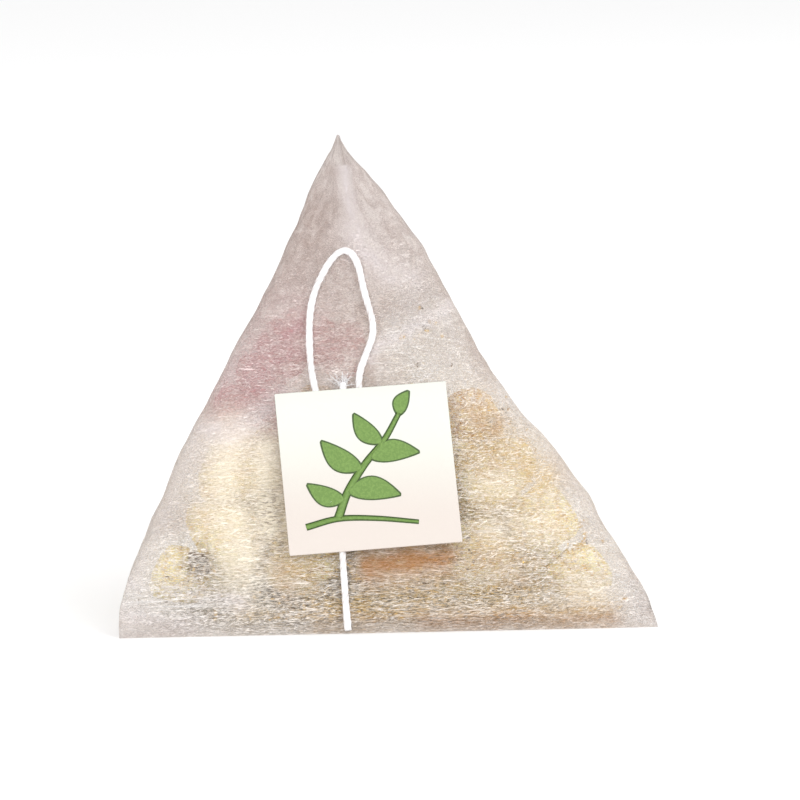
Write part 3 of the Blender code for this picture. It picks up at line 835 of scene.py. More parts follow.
@dataclass
class BagCloth:
    """The bag's cloth, with its edges, creases and lumps as the photograph shows them."""

    form: BagForm
    offset: np.ndarray
    tag: "TagPlane"
    # How far the left and right edges stand out, by height above the floor, in millimetres.
    left_edge: tuple = (
        (0, -0.3), (4, -0.2), (6, 0.35), (10, 0.7), (18, 0.75), (25, 0.3), (32, 0.1), (39, -0.38),
        (42.3, -0.31), (44.7, -0.26), (47.3, 0.2), (49.2, 0.62), (52, 1.42),
    )  # fmt: skip
    right_edge: tuple = (
        (0, 0.3), (2, -0.2), (4, -0.3), (5.5, -0.1), (7, 0.15), (9.3, 0.45), (11.6, 0.45), (14, 0.75),
        (16.3, 0.35), (19, 0.16), (21, -0.1), (23.4, -0.75), (26, -1.0), (28, -1.05), (30.5, -0.9),
        (33, -0.3), (35, 0.05), (37.5, 0.4), (40, 0.8), (42, 1.2), (44.5, 1.12), (47.3, 1.25),
        (49.2, 1.5), (50.2, 1.53), (52, 1.0),
    )  # fmt: skip
    edge_room: float = 1.2 * MM  # by which the cloth's outline is wider than the plain triangle
    edge_start: float = 0.35  # share of the half width, from which the edge's shift sets in
    edge_run: float = 0.6
    pocket_depth: float = 9 * MM  # behind the front seal, over which the underside sags to the floor
    pocket_ends: float = 6 * MM  # at the seal's two ends, over which it closes
    seam_rows: int = 30  # above the front weld, that are evened out
    seam_rounds: int = 80
    held_rows: int = 14  # next to each weld, over which the cloth comes free
    tuck_reach: float = 11 * MM  # below the tip, over which the top band lies hidden behind the ridge
    tuck_least: float = 0.12
    tip_rise: float = 1.15 * MM
    tip_reach: float = 6.0 * MM
    crumple: float = 0.24 * MM
    fine_crumple: float = 0.07 * MM
    lump: float = 0.45 * MM
    lump_reach: float = 4.2 * MM
    crease_line: tuple = ((-1.5, 31.2), (0.1, 31.8), (3.2, 33.3), (6.8, 34.9), (10.5, 36.0))  # across, up
    crease_step: float = 0.55 * MM
    crease_ends: float = 3 * MM
    crease_edge: float = 0.9 * MM
    crease_below: float = 6 * MM  # how far down the cloth stands out
    crease_fade: float = 5 * MM
    clear_of_string: float = 0.95 * MM  # between the cloth and the tag's back
    tag_margin: float = 2.5 * MM
    floor_gap: float = 0.02 * MM
    mark_margin: float = 3 * MM  # by which marks may run past the front face
    veil_gap: float = 1.4 * MM  # up to which the filling counts as touching
    veil_fade: float = 2.1 * MM
    veil_rounds: int = 4
    rings: np.ndarray = field(default=None)
    weld: np.ndarray = field(default=None)

    def shape(self, lumps: np.ndarray) -> None:
        """Works out the points of the cloth.

        Args:
            lumps: The middles of the pieces of the filling that press on the cloth.
        """
        self.rings, self.weld = self.form.grid()
        self.rings = self.rings + self.offset
        self.open_pocket()
        self.tuck_top_band()
        self.even_out_seam()
        free = self.free_share()
        outwards = self.outward_directions()
        push = self.crumpled() * free
        push += self.lumpy(lumps) * free
        push += self.creased() * free
        self.rings = self.rings + outwards * push[..., None]
        self.rings = self.rings + self.edge_shift()
        self.keep_clear()

    def open_pocket(self) -> None:
        """Opens the tube just above the front weld, so that its underside sags to the floor there."""
        square = self.form.square()
        under = (square[:, 1] + 1) / 2
        centre = int(np.argmin(np.abs(square[:, 0]) + np.abs(square[:, 1] - 1)))
        route = self.rings[:, centre]
        first = int(np.argmax(self.weld < 0.5))
        last = int(np.argmax(route[:, 1] > route[0, 1] + self.pocket_depth))
        route = route[first : last + 1]
        steps = np.linalg.norm(np.diff(route, axis=0), axis=1)
        share = np.concatenate([[0.0], np.cumsum(steps)]) / steps.sum()
        sagged = route[0] + share[:, None] * (route[-1] - route[0])
        sagged[:, 2] = route[-1, 2] + (route[0, 2] - route[-1, 2]) * (1 - share) ** 2
        across = np.abs(self.rings[first : last + 1, :, 0] - self.offset[0])
        ends = smooth_step((self.form.seal_length / 2 - across) / self.pocket_ends)
        self.rings[first : last + 1] += (sagged - route)[:, None] * (under * ends)[..., None]

    def tuck_top_band(self) -> None:
        """Hides the upper end of the top band behind the tip."""
        rows = self.form.seal_rows + self.form.sections
        ridge = self.rings[rows - 1]
        below = np.linalg.norm(ridge - ridge[np.argmax(ridge[:, 2])], axis=1)
        width = self.tuck_least + (1 - self.tuck_least) * smooth_step(below / self.tuck_reach)
        self.rings[rows:] = ridge + (self.rings[rows:] - ridge) * width[:, None]

    def even_out_seam(self) -> None:
        """Takes the crease out of the front where the band passes into the face."""
        first = int(np.argmax(self.weld < 0.5))
        last = first + self.seam_rows
        for _ in range(self.seam_rounds):
            self.rings[first:last] = softened(self.rings[first - 1 : last + 1])

    def free_share(self) -> np.ndarray:
        """0 on the welds, 1 well between them."""
        count = len(self.rings)
        low = np.argmax(self.weld < 0.5)
        high = count - np.argmax(self.weld[::-1] < 0.5) - 1
        place = np.arange(count)
        share = smooth_step((place - low) / self.held_rows) * smooth_step((high - place) / self.held_rows)
        return np.repeat(share[:, None], self.rings.shape[1], axis=1)

    def outward_directions(self) -> np.ndarray:
        """The direction straight out of the cloth at each point."""
        around = np.roll(self.rings, -1, axis=1) - np.roll(self.rings, 1, axis=1)
        along = np.gradient(self.rings, axis=0)
        outwards = np.cross(around, along)
        outwards /= np.maximum(np.linalg.norm(outwards, axis=2), 1e-12)[..., None]
        middle = self.rings.mean(axis=(0, 1))
        if ((self.rings - middle) * outwards).sum() < 0:
            outwards = -outwards
        return outwards

    def crumpled(self) -> np.ndarray:
        """Soft dents and short folds all over."""
        push = np.empty(self.rings.shape[:2])
        for i, ring in enumerate(self.rings):
            for j, point in enumerate(ring):
                spot = Vector(point) / MM
                soft = noise.noise(spot * 0.085)
                folded = 1.0 - abs(noise.noise(spot * 0.16 + Vector((7.0, 3.0, 1.0)))) * 2.0
                fine = noise.noise(spot * 0.55)
                push[i, j] = self.crumple * (soft + 0.7 * (folded - 0.6)) + self.fine_crumple * fine
        return push

    def lumpy(self, lumps: np.ndarray) -> np.ndarray:
        """The filling's pieces, pressed into the cloth from inside."""
        flat = self.rings.reshape(-1, 3)
        push = np.zeros(len(flat))
        for lump in lumps:
            distance = np.linalg.norm(flat - lump, axis=1)
            push = np.maximum(push, np.exp(-((distance / self.lump_reach) ** 2)))
        return self.lump * push.reshape(self.rings.shape[:2])

    def creased(self) -> np.ndarray:
        """The slanting crease on the front, below which the cloth stands out over the filling."""
        line = np.array(self.crease_line) * MM
        across = self.rings[..., 0]
        up = self.rings[..., 2]
        level = np.interp(across, line[:, 0], line[:, 1])
        inside = smooth_step((across - line[0, 0]) / self.crease_ends)
        inside = inside * smooth_step((line[-1, 0] - across) / self.crease_ends)
        below = smooth_step((level - up) / self.crease_edge)
        below = below * smooth_step((up - level + self.crease_below) / self.crease_fade)
        front = smooth_step(-self.outward_directions()[..., 1] * 2)
        return self.crease_step * inside * below * front

    def edge_shift(self) -> np.ndarray:
        """How the left and right edges stand out or dip."""
        up = self.rings[..., 2] / MM
        across = self.rings[..., 0]
        rise = np.clip(up * MM / self.form.apex[2], 0.0, 1.0)
        centre = self.offset[0] - self.form.apex_offset * rise
        half_width = self.form.seal_length / 2 * (1 - rise) + self.edge_room
        side = (across - centre) / half_width
        shift = np.zeros_like(self.rings)
        for way, edge in ((-1, self.left_edge), (1, self.right_edge)):
            heights, steps = np.transpose(edge)
            share = smooth_step((way * side - self.edge_start) / self.edge_run)
            shift[..., 0] += way * share * np.interp(up, heights, steps) * MM
        shift[..., 2] += self.tip_rise * smooth_step(1 - (self.form.apex[2] / MM - up) * MM / self.tip_reach)
        return shift

    def keep_clear(self) -> None:
        """Holds the cloth behind the string and the tag, and above the floor."""
        beyond = self.tag.level_of(self.rings.reshape(-1, 3)).reshape(self.rings.shape[:2])
        over = beyond + self.tag.thickness / 2 + self.clear_of_string
        inside = self.tag.covers(self.rings.reshape(-1, 3), self.tag_margin).reshape(over.shape)
        over = np.where(over > 0, over, 0.0) * inside
        self.rings = self.rings - over[..., None] * self.tag.normal
        self.rings[..., 2] = np.maximum(self.rings[..., 2], self.floor_gap)

    def build(self) -> bpy.types.Object:
        """The mesh of the cloth, with its flat map.

        Returns:
            The cloth.
        """
        rows, count = self.rings.shape[:2]
        faces = []
        for i in range(rows - 1):
            for j in range(count):
                k = (j + 1) % count
                faces.append((i * count + j, i * count + k, (i + 1) * count + k, (i + 1) * count + j))
        cloth = mesh_from("bag_cloth", self.rings.reshape(-1, 3), faces)
        self.lay_flat(cloth, rows, count)
        for trace in Trace:
            set_attribute(cloth, trace.value, self.traced(trace).ravel())
        set_attribute(cloth, WELD, np.repeat(self.weld, count))
        return cloth

    def traced(self, trace: Trace) -> np.ndarray:
        """How strong a trace is at each point of the cloth. It is on the front only."""
        places = np.stack((self.rings[..., 0] - self.offset[0], self.rings[..., 2]), axis=-1) / MM
        deep = self.rings[..., 1] - self.offset[1]
        front = (self.outward_directions()[..., 1] < 0) | (deep < self.mark_margin)
        front &= deep < self.form.rear[1] * 0.5 + self.mark_margin
        return np.max([mark.share(places) for mark in MARKS[trace]], axis=0) * front

    def lay_flat(self, cloth: bpy.types.Object, rows: int, count: int) -> None:
        """Writes the cloth's flat map, in millimetres round the tube and along it."""
        around = 2 * self.form.seal_length / count / MM
        steps = np.linalg.norm(np.diff(self.rings, axis=0), axis=2).mean(axis=1)
        along = np.concatenate([[0.0], np.cumsum(steps)]) / MM
        layer = cloth.data.uv_layers.new(name=FLAT_MAP)
        places = np.zeros((len(cloth.data.loops), 2))
        for polygon in cloth.data.polygons:
            for loop in polygon.loop_indices:
                row, column = divmod(cloth.data.loops[loop].vertex_index, count)
                wraps = column == 0 and polygon.index % count == count - 1
                places[loop] = ((column + count * wraps) * around, along[row])
        layer.data.foreach_set("uv", places.astype(np.float32).ravel())

    def veil(self, cloth: bpy.types.Object, filling: BVHTree) -> None:
        """Notes how close the filling lies behind each point of the cloth."""
        points = self.rings.reshape(-1, 3)
        gaps = np.array([filling.find_nearest(Vector(point))[3] for point in points])
        close = np.exp(-np.maximum(gaps - self.veil_gap, 0.0) / self.veil_fade).reshape(self.rings.shape[:2])
        for _ in range(self.veil_rounds):
            close = (2 * close + np.roll(close, 1, axis=1) + np.roll(close, -1, axis=1)) / 4
            close = np.concatenate([close[:1], softened(close), close[-1:]])
        set_attribute(cloth, CLOSENESS, close.ravel())


@dataclass(frozen=True)
class Mark:
    """A faded mark on the front cloth: a point, or a line of points."""

    reach: float  # over which it fades out, in millimetres
    strength: float
    line: tuple  # places across from the seal's middle and up, in millimetres

    def share(self, places: np.ndarray) -> np.ndarray:
        """Its strength at each of the places."""
        nearest = np.full(places.shape[:-1], np.inf)
        for start, end in zip(self.line, self.line[1:] or self.line):
            run = np.subtract(end, start)
            away = places - np.array(start)
            along = np.clip(away @ run / max(run @ run, 1e-9), 0.0, 1.0)
            nearest = np.minimum(nearest, np.linalg.norm(away - along[..., None] * run, axis=-1))
        return self.strength * np.exp(-((nearest / self.reach) ** 2))


MARKS = {
    Trace.SHADE: (
        Mark(3.0, 0.35, ((-5.4, 51.0), (-6.4, 48.0))),
        Mark(4.0, 1.00, ((-7.0, 45.5), (-9.5, 39.0))),
        Mark(4.0, 0.85, ((-9.5, 39.0), (-13.0, 35.5), (-16.5, 30.0))),
        Mark(3.4, 0.65, ((-4.5, 38.5), (-3.2, 33.5))),
        Mark(2.0, 1.10, ((9.0, 38.0), (3.6, 36.0), (0.4, 34.4))),
        Mark(1.4, 0.15, ((1.5, 47.0), (4.5, 41.0), (6.0, 37.0))),
        Mark(1.9, 0.90, ((-21.2, 18.6), (-22.2, 14.4), (-24.0, 11.6))),
        Mark(1.8, 0.90, ((9.6, 33.5), (13.0, 28.5), (17.5, 22.0))),
        Mark(1.9, 0.95, ((17.5, 22.0), (24.0, 12.0))),
        Mark(2.4, 0.95, ((24.0, 12.0), (29.5, 3.0))),
        Mark(2.4, 1.00, ((-18.4, 25.4), (-13.6, 26.8))),
        Mark(2.2, 0.40, ((4.0, 29.0), (9.0, 29.4))),
        Mark(2.4, 0.85, ((11.5, 18.4), (17.5, 18.4))),
    ),
    Trace.BLUSH: (
        Mark(4.0, 0.85, ((-9.8, 33.0), (-14.5, 27.5), (-18.0, 25.5))),
        Mark(2.6, 0.55, ((-7.0, 31.0), (-3.0, 31.5))),
        Mark(0.9, 1.10, ((-8.8, 34.6), (-9.0, 33.4), (-11.2, 32.4))),
        Mark(1.1, 1.10, ((-15.6, 28.0), (-13.3, 26.0))),
        Mark(0.8, 1.00, ((-17.9, 24.4), (-15.4, 25.2))),
    ),
    Trace.GOLD: (
        Mark(2.6, 1.00, ((-7.5, 2.6), (8.0, 3.4), (24.0, 2.4))),
        Mark(2.4, 0.95, ((11.6, 23.4), (14.6, 21.0))),
        Mark(2.2, 0.85, ((-10.6, 7.4), (-8.6, 4.6))),
        Mark(2.4, 0.70, ((11.5, 9.0), (17.0, 6.4))),
        Mark(2.4, 1.05, ((10.6, 19.6), (16.0, 19.6), (18.8, 16.4))),
        Mark(1.6, 0.55, ((-16.4, 2.2), (-10.0, 1.6))),
        Mark(2.4, 0.50, ((10.5, 13.6), (18.0, 13.8))),
    ),
    Trace.AMBER_AND_TAG_SHADOW: (
        # Painted shadow of the tag under its lower edge, over brown slices behind.
        Mark(2.1, 1.45, ((-1.6, 7.1), (2.0, 7.4), (6.6, 7.8))),
        Mark(0.9, 0.70, ((10.8, 23.8), (12.0, 22.4))),
        Mark(0.8, 0.70, ((13.4, 21.6), (14.2, 22.8))),
        Mark(1.6, 0.45, ((12.0, 7.0), (15.6, 5.4))),
        Mark(1.4, 0.50, ((-12.0, 6.6), (-11.4, 3.8))),
        Mark(1.5, 0.75, ((4.0, 1.2), (26.0, 0.9))),
        Mark(1.4, 0.40, ((-8.0, 1.0), (4.0, 1.2))),
    ),
    Trace.CREAM: (
        Mark(3.2, 1.00, ((-17.0, 21.0), (-18.6, 15.4), (-16.2, 9.5), (-16.4, 6.0))),
        Mark(2.6, 1.15, ((-13.2, 19.6), (-13.2, 11.4))),
        Mark(2.0, 0.55, ((12.4, 16.0), (14.6, 15.4))),
        Mark(2.0, 0.60, ((12.5, 11.2), (20.0, 10.6))),
        Mark(1.7, 0.70, ((22.0, 4.6), (24.5, 4.3))),
    ),
    Trace.HAZE_AND_HIGHLIGHT: (
        Mark(0.9, 1.00, ((-3.5, 54.0), (-3.1, 51.7), (-2.8, 48.8), (-2.2, 45.4), (-1.4, 42.6))),
        Mark(1.7, 0.90, ((-2.2, 44.6), (-1.2, 42.0), (1.6, 39.4), (4.5, 38.4))),
        Mark(1.9, 0.60, ((-21.4, 21.8), (-24.6, 15.8), (-28.0, 8.0))),
        Mark(1.3, 0.85, ((-20.6, 22.4), (-17.6, 21.8), (-14.6, 23.2), (-11.6, 25.6))),
        Mark(1.4, 0.40, ((20.6, 18.8), (25.4, 10.6))),
        Mark(1.1, 0.95, ((-30.1, 5.8), (-23.6, 4.9), (-16.8, 3.4))),
        Mark(1.5, 0.80, ((-29.6, 2.8), (-22.0, 1.4))),
        # Painted highlight along the crease.
        Mark(0.8, 1.60, ((8.6, 35.4), (5.5, 34.0), (3.3, 32.8), (0.1, 31.3), (-1.0, 30.0))),
    ),
    Trace.SPECK: (
        Mark(1.9, 0.95, ((-13.0, 14.4), (-13.0, 12.1), (-12.2, 9.0))),
        Mark(2.1, 0.80, ((-25.6, 6.4), (-21.6, 5.4), (-20.0, 3.6))),
        Mark(1.7, 1.00, ((-16.8, 1.2), (-6.0, 1.4), (-9.4, 3.2))),
        Mark(1.8, 0.85, ((-6.0, 1.4), (17.0, 1.2))),
        Mark(1.6, 0.95, ((6.4, 8.2), (8.4, 7.8))),
        Mark(1.5, 0.75, ((5.6, 31.4), (4.6, 27.6))),
        Mark(1.2, 0.45, ((6.4, 36.6), (5.4, 38.8))),
        Mark(1.8, 0.75, ((11.4, 21.0), (15.4, 23.0))),
        Mark(1.8, 0.60, ((17.0, 1.2), (30.0, 1.0))),
        Mark(2.4, 0.50, ((12.5, 7.6), (18.0, 8.4))),
        Mark(1.6, 0.55, ((15.5, 13.4), (17.5, 13.0))),
    ),
    Trace.STREAK: (
        Mark(1.6, 1.0, ((0.4, 29.8), (7.4, 31.8))),
        Mark(1.5, 1.0, ((-30.5, 4.4), (-19.0, 2.4))),
        Mark(1.1, 0.5, ((-24.5, 7.4), (-17.0, 6.6))),
        Mark(1.0, 0.6, ((5.0, 10.6), (13.0, 10.6))),
        Mark(1.8, 0.5, ((23.0, 3.4), (30.0, 2.6))),
    ),
}


@dataclass
class TagPlane:
    """Where the tag of the frame lies: its middle, its own directions and its size."""

    node: bpy.types.Object

    def __post_init__(self) -> None:
        """Reads the plane from the tag's eight corners."""
        points = corners_of(self.node)
        self.middle = points.mean(axis=0)
        _, sizes, axes = np.linalg.svd(points - self.middle, full_matrices=False)
        self.normal = axes[2] if axes[2][1] < 0 else -axes[2]
        spots = np.unique(np.round(points - self.middle, 7), axis=0)
        near = [spot for spot in spots if spot @ self.normal > 0]
        top = sorted(near, key=lambda spot: -spot[2])[:2]
        left, right = sorted(top, key=lambda spot: spot[0])
        self.width = float(np.linalg.norm(right - left))
        self.across = (right - left) / self.width
        self.up = np.cross(self.normal, self.across)
        self.height = 2 * float(left @ self.up)
        self.thickness = 2 * float(near[0] @ self.normal)

    def level_of(self, points: np.ndarray) -> np.ndarray:
        """How far points lie in front of the middle of the card."""
        return (points - self.middle) @ self.normal

    def covers(self, points: np.ndarray, margin: float) -> np.ndarray:
        """1 behind or before the card, 0 well beside it."""
        rel = points - self.middle
        aside = np.abs(rel @ self.across) - self.width / 2
        beyond = np.maximum(aside, np.abs(rel @ self.up) - self.height / 2)
        return 1 - smooth_step(beyond / margin)

    def matrix(self) -> Matrix:
        """The card's own frame, with its face towards +Z and its top towards +Y."""
        turn = Matrix([list(self.across), list(self.up), list(self.normal)]).transposed()
        return Matrix.Translation(Vector(self.middle)) @ turn.to_4x4()


@dataclass
class FrontCloth:
    """The finished cloth as seen from the front, to lay small things on or behind it."""

    tree: BVHTree
    offset: np.ndarray
    before: float = 50 * MM  # in front of the seal, where the look starts

    def spot(self, across: float, up: float) -> tuple[Vector, Vector] | None:
        """The first point of the cloth at a place and its outward direction, or None beside the cloth."""
        start = Vector((across + self.offset[0], self.offset[1] - self.before, up))
        point, normal, _, _ = self.tree.ray_cast(start, Vector((0, 1, 0)))
        if point is None:
            return None
        return point, normal if normal.y < 0 else -normal


# The filling


class Piece(Enum):
    """The kinds of dried pieces, by the first words of their nodes' names."""

    FRUIT = "fruit_piece"
    PEEL = "peel_slice"
    PETAL = "rose_petal"
    SEED = "dark_seed"


@dataclass
class Start:
    """A dried piece before its wrinkles: the solid's own form, much finer, and round its middle."""

    piece: bpy.types.Object
    middle: np.ndarray
    directions: np.ndarray
    radius: np.ndarray

    @classmethod
    def from_solid(cls, node: bpy.types.Object, levels: int) -> "Start":
        """Copies a solid and makes it smooth.

        Args:
            node: The solid, which stays as it is.
            levels: How often its faces are divided.

        Returns:
            The copy, with the direction and distance of each point from its middle.
        """
        piece = bpy.data.objects.new("piece", node.data.copy())
        bpy.context.scene.collection.objects.link(piece)
        edit(
            piece,
            (bpy.ops.mesh.remove_doubles, {"threshold": 0.001 * MM}),
            (bpy.ops.mesh.tris_convert_to_quads, {"face_threshold": math.pi, "shape_threshold": math.pi}),
        )
        finer = piece.modifiers.new("finer", "SUBSURF")
        finer.levels = levels
        finer.render_levels = levels
        apply_modifiers(piece)
        piece.data.shade_smooth()
        points = corners_of(piece)
        middle = box_middle(points)
        radius = np.linalg.norm(points - middle, axis=1)
        return cls(piece, middle, (points - middle) / radius[:, None], radius)

    def surface(self) -> np.ndarray:
        """The points of the smooth form."""
        return self.middle + self.directions * self.radius[:, None]

    def carve(self, depth: np.ndarray, folds: np.ndarray) -> bpy.types.Object:
        """Draws the surface in by shares of its distance from the middle, and notes how much painted shade
        each point gets in the folds.
        """
        set_corners(self.piece, self.middle + self.directions * (self.radius * (1 - depth))[:, None])
        set_attribute(self.piece, FOLD_SHADE, np.clip(folds, 0, 1))
        return self.piece


@dataclass
class Filling:
    """The dried pieces, each in the room that its solid takes."""

    nodes: dict
    seed: int = 11
    pieces: list = field(default_factory=list)
    finishes: dict = field(default_factory=dict)
    fineness: int = 3
    petals_per_flower: int = 4
    petal_thickness: float = 0.16 * MM

    def make_finishes(self) -> None:
        """The materials of the kinds."""
        self.finishes = {
            Piece.FRUIT: DriedFinish(
                "dried fruit", (1.0, 0.93, 0.60, 1), (0.98, 0.83, 0.40, 1), (0.86, 0.64, 0.27, 1)
            ).make(),
            Piece.PEEL: DriedFinish(
                "dried peel", (0.95, 0.76, 0.36, 1), (0.85, 0.53, 0.18, 1), (0.50, 0.25, 0.07, 1), 0.5
            ).make(),
            Piece.PETAL: DriedFinish(
                "rose petal", (0.90, 0.54, 0.57, 1), (0.80, 0.34, 0.40, 1), (0.55, 0.05, 0.14, 1), 0.6, 420
            ).make(),
            Piece.SEED: DriedFinish(
                "dark seed", (0.22, 0.13, 0.06, 1), (0.10, 0.06, 0.03, 1), (0.04, 0.02, 0.01, 1), 0.45, 900
            ).make(),
        }

    def build(self) -> None:
        """Makes a piece for every solid of the filling."""
        chance = np.random.default_rng(self.seed)
        self.make_finishes()
        makers = {
            Piece.FRUIT: self.make_fruit,
            Piece.PEEL: self.make_slice,
            Piece.PETAL: self.make_flower,
            Piece.SEED: self.make_seed,
        }
        for name in sorted(self.nodes):
            kind = next((kind for kind in Piece if name.startswith(kind.value)), None)
            if kind is None:
                continue
            piece = makers[kind](self.nodes[name], chance)
            piece.name = f"dried_{name}"
            piece.data.name = piece.name
            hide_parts(name)
            ride(piece, self.finishes[kind])
            self.pieces.append(piece)

    @staticmethod
    def rough(points: np.ndarray, scale: float, shift: float) -> np.ndarray:
        """Noise between about -1 and 1 at points given in metres."""
        move = Vector((shift, -shift, 2 * shift))
        return np.array([noise.noise(Vector(point) * scale / MM + move) for point in points])

    @staticmethod
    def any_direction(chance: np.random.Generator) -> np.ndarray:
        """A direction without preference."""
        return unit(chance.normal(size=3))

    def make_fruit(self, node: bpy.types.Object, chance: np.random.Generator) -> bpy.types.Object:
        """A dried bud or chunk: folds like closed petals round an axis, then wrinkles."""
        start = Start.from_solid(node, self.fineness)
        axis = self.any_direction(chance)
        side = unit(np.cross(axis, self.any_direction(chance)))
        polar = np.arccos(np.clip(start.directions @ axis, -1.0, 1.0))
        turn = np.arctan2(start.directions @ np.cross(axis, side), start.directions @ side)
        shift = float(chance.uniform(0, 90))
        petals = chance.integers(6, 10)
        depth = 0.11 if chance.uniform() < 0.6 else 0.03
        surface = start.surface()
        wobble = self.rough(surface, 0.30, shift)
        folds = np.abs(np.sin(petals / 2 * turn + 1.1 * np.sin(1.7 * polar) + 1.6 * wobble))
        groove = depth * (1 - folds) ** 3 * np.sin(polar) ** 0.5
        wrinkle = (1 - np.abs(self.rough(surface, 0.75, shift + 5)) ** 0.6) * 0.055
        fine = self.rough(surface, 1.9, shift + 9) * 0.015
        # The second share is painted shade in the grooves and wrinkles.
        return start.carve(groove + wrinkle + fine, groove * 7 + wrinkle * 9)

    def make_slice(self, node: bpy.types.Object, chance: np.random.Generator) -> bpy.types.Object:
        """A dried slice of peel, with pits and a puckered rim."""
        start = Start.from_solid(node, self.fineness)
        shift = float(chance.uniform(0, 90))
        surface = start.surface()
        pucker = np.abs(self.rough(surface, 0.5, shift))
        pits = (1 - np.abs(self.rough(surface, 1.1, shift + 4))) ** 4
        # The second share is painted shade in the pits and puckers.
        return start.carve(0.08 * pucker + 0.07 * pits, pits + 0.3 * pucker)

    def make_seed(self, node: bpy.types.Object, chance: np.random.Generator) -> bpy.types.Object:
        """A small wrinkled seed."""
        start = Start.from_solid(node, self.fineness)
        ribs = (1 - np.abs(self.rough(start.surface(), 1.0, float(chance.uniform(0, 90))))) ** 3
        # The second share is painted shade in the grooves between the ribs.
        return start.carve(0.12 * ribs, ribs)

    def make_flower(self, node: bpy.types.Object, chance: np.random.Generator) -> bpy.types.Object:
        """A few dried petals that lie over each other, cupped and curled at their rims."""
        points = corners_of(node)
        middle = box_middle(points)
        _, _, axes = np.linalg.svd(points - middle, full_matrices=False)
        outline = (points - middle) @ axes[:2].T
        petals = []
        for number in range(self.petals_per_flower):
            clear_selection()
            bpy.ops.mesh.primitive_grid_add(x_subdivisions=26, y_subdivisions=26, size=2.0)
            petal = bpy.context.object
            petals.append(petal)
            square = corners_of(petal)[:, :2]
            round_off = np.sqrt(1 - square[:, ::-1] ** 2 / 2)
            disc = square * round_off
            spin = number * 1.9 + float(chance.uniform(-0.3, 0.3))
            shift = float(chance.uniform(0, 90))
            along = 0.32 + 0.78 * disc[:, 0]
            aside = 0.82 * disc[:, 1] * (0.85 + 0.15 * disc[:, 0])
            c, s = math.cos(spin), math.sin(spin)
            spot = np.stack([along * c - aside * s, along * s + aside * c], axis=1)
            reach = np.linalg.norm(spot, axis=1)
            way = spot / np.maximum(reach, 1e-6)[:, None]
            rim = (way @ outline.T).max(axis=1) * 0.96
            flat = way * (rim * np.tanh(reach * 1.2) / math.tanh(1.2))[:, None]
            curl = (disc**2).sum(axis=1)
            ripple = self.rough(np.concatenate([flat, 0 * flat[:, :1]], axis=1), 0.35, shift)
            depth = (number - 1.5) * 0.25 + 0.5 * curl * (1 if number % 2 else -1) + 0.7 * ripple * curl
            set_corners(petal, middle + flat @ axes[:2] + depth[:, None] * MM * axes[2])
            # The veins and curled rims are the petal's own darker tone; the hollows of the ripples get
            # painted shade.
            veins = (1 - np.abs(np.sin(7 * disc[:, 1] + 2 * ripple))) ** 3
            folds = 0.5 * veins + 0.8 * np.maximum(-ripple, 0) + 0.5 * curl**4
            set_attribute(petal, FOLD_SHADE, np.clip(folds, 0, 1))
        flower = join(petals, "flower")
        thick = flower.modifiers.new("thickness", "SOLIDIFY")
        thick.thickness = self.petal_thickness
        thick.offset = 0.0
        apply_modifiers(flower)
        flower.data.shade_smooth()
        return flower

    def press_on_cloth(self) -> np.ndarray:
        """The middles of the larger pieces, which press on the cloth."""
        large = (Piece.FRUIT.value, Piece.PEEL.value)
        nodes = [node for name, node in self.nodes.items() if name.startswith(large)]
        return np.array([box_middle(corners_of(node)) for node in nodes])

    def search_tree(self) -> BVHTree:
        """A search tree of all the pieces."""
        points: list = []
        faces: list = []
        for piece in self.pieces:
            start = len(points)
            points += [vertex.co.copy() for vertex in piece.data.vertices]
            faces += [[start + i for i in polygon.vertices] for polygon in piece.data.polygons]
        return BVHTree.FromPolygons(points, faces)


@dataclass(frozen=True)
class Heap:
    """Crumbs that lie together: where, seen from the front, how far they spread, and how many."""

    across: float
    up: float
    wide: float
    high: float
    count: int
    tan: float  # share of them that is tan


HEAPS = (
    Heap(-12.8, 11.5, 3.0, 5.0, 70, 0.7),
    Heap(-24.0, 5.8, 4.0, 2.6, 30, 0.5),
    Heap(-10.5, 2.0, 8.0, 2.0, 220, 0.75),
    Heap(-9.0, 6.0, 5.0, 4.0, 120, 0.95),
    Heap(8.2, 7.4, 3.0, 2.4, 90, 0.75),
    Heap(1.6, 2.2, 6.0, 2.2, 220, 0.75),
    Heap(2.0, 6.6, 8.0, 2.6, 260, 1.0),
    Heap(15.4, 1.8, 9.0, 1.8, 240, 0.85),
    Heap(25.5, 1.8, 5.0, 1.4, 80, 0.9),
    Heap(14.0, 8.0, 6.0, 5.0, 190, 0.95),
    Heap(13.0, 20.8, 5.0, 4.0, 130, 0.9),
    Heap(6.0, 32.5, 4.0, 3.0, 16, 0.5),
    Heap(-17.0, 8.0, 8.0, 8.0, 60, 0.95),
    Heap(21.0, 8.0, 5.0, 6.0, 100, 0.95),
)


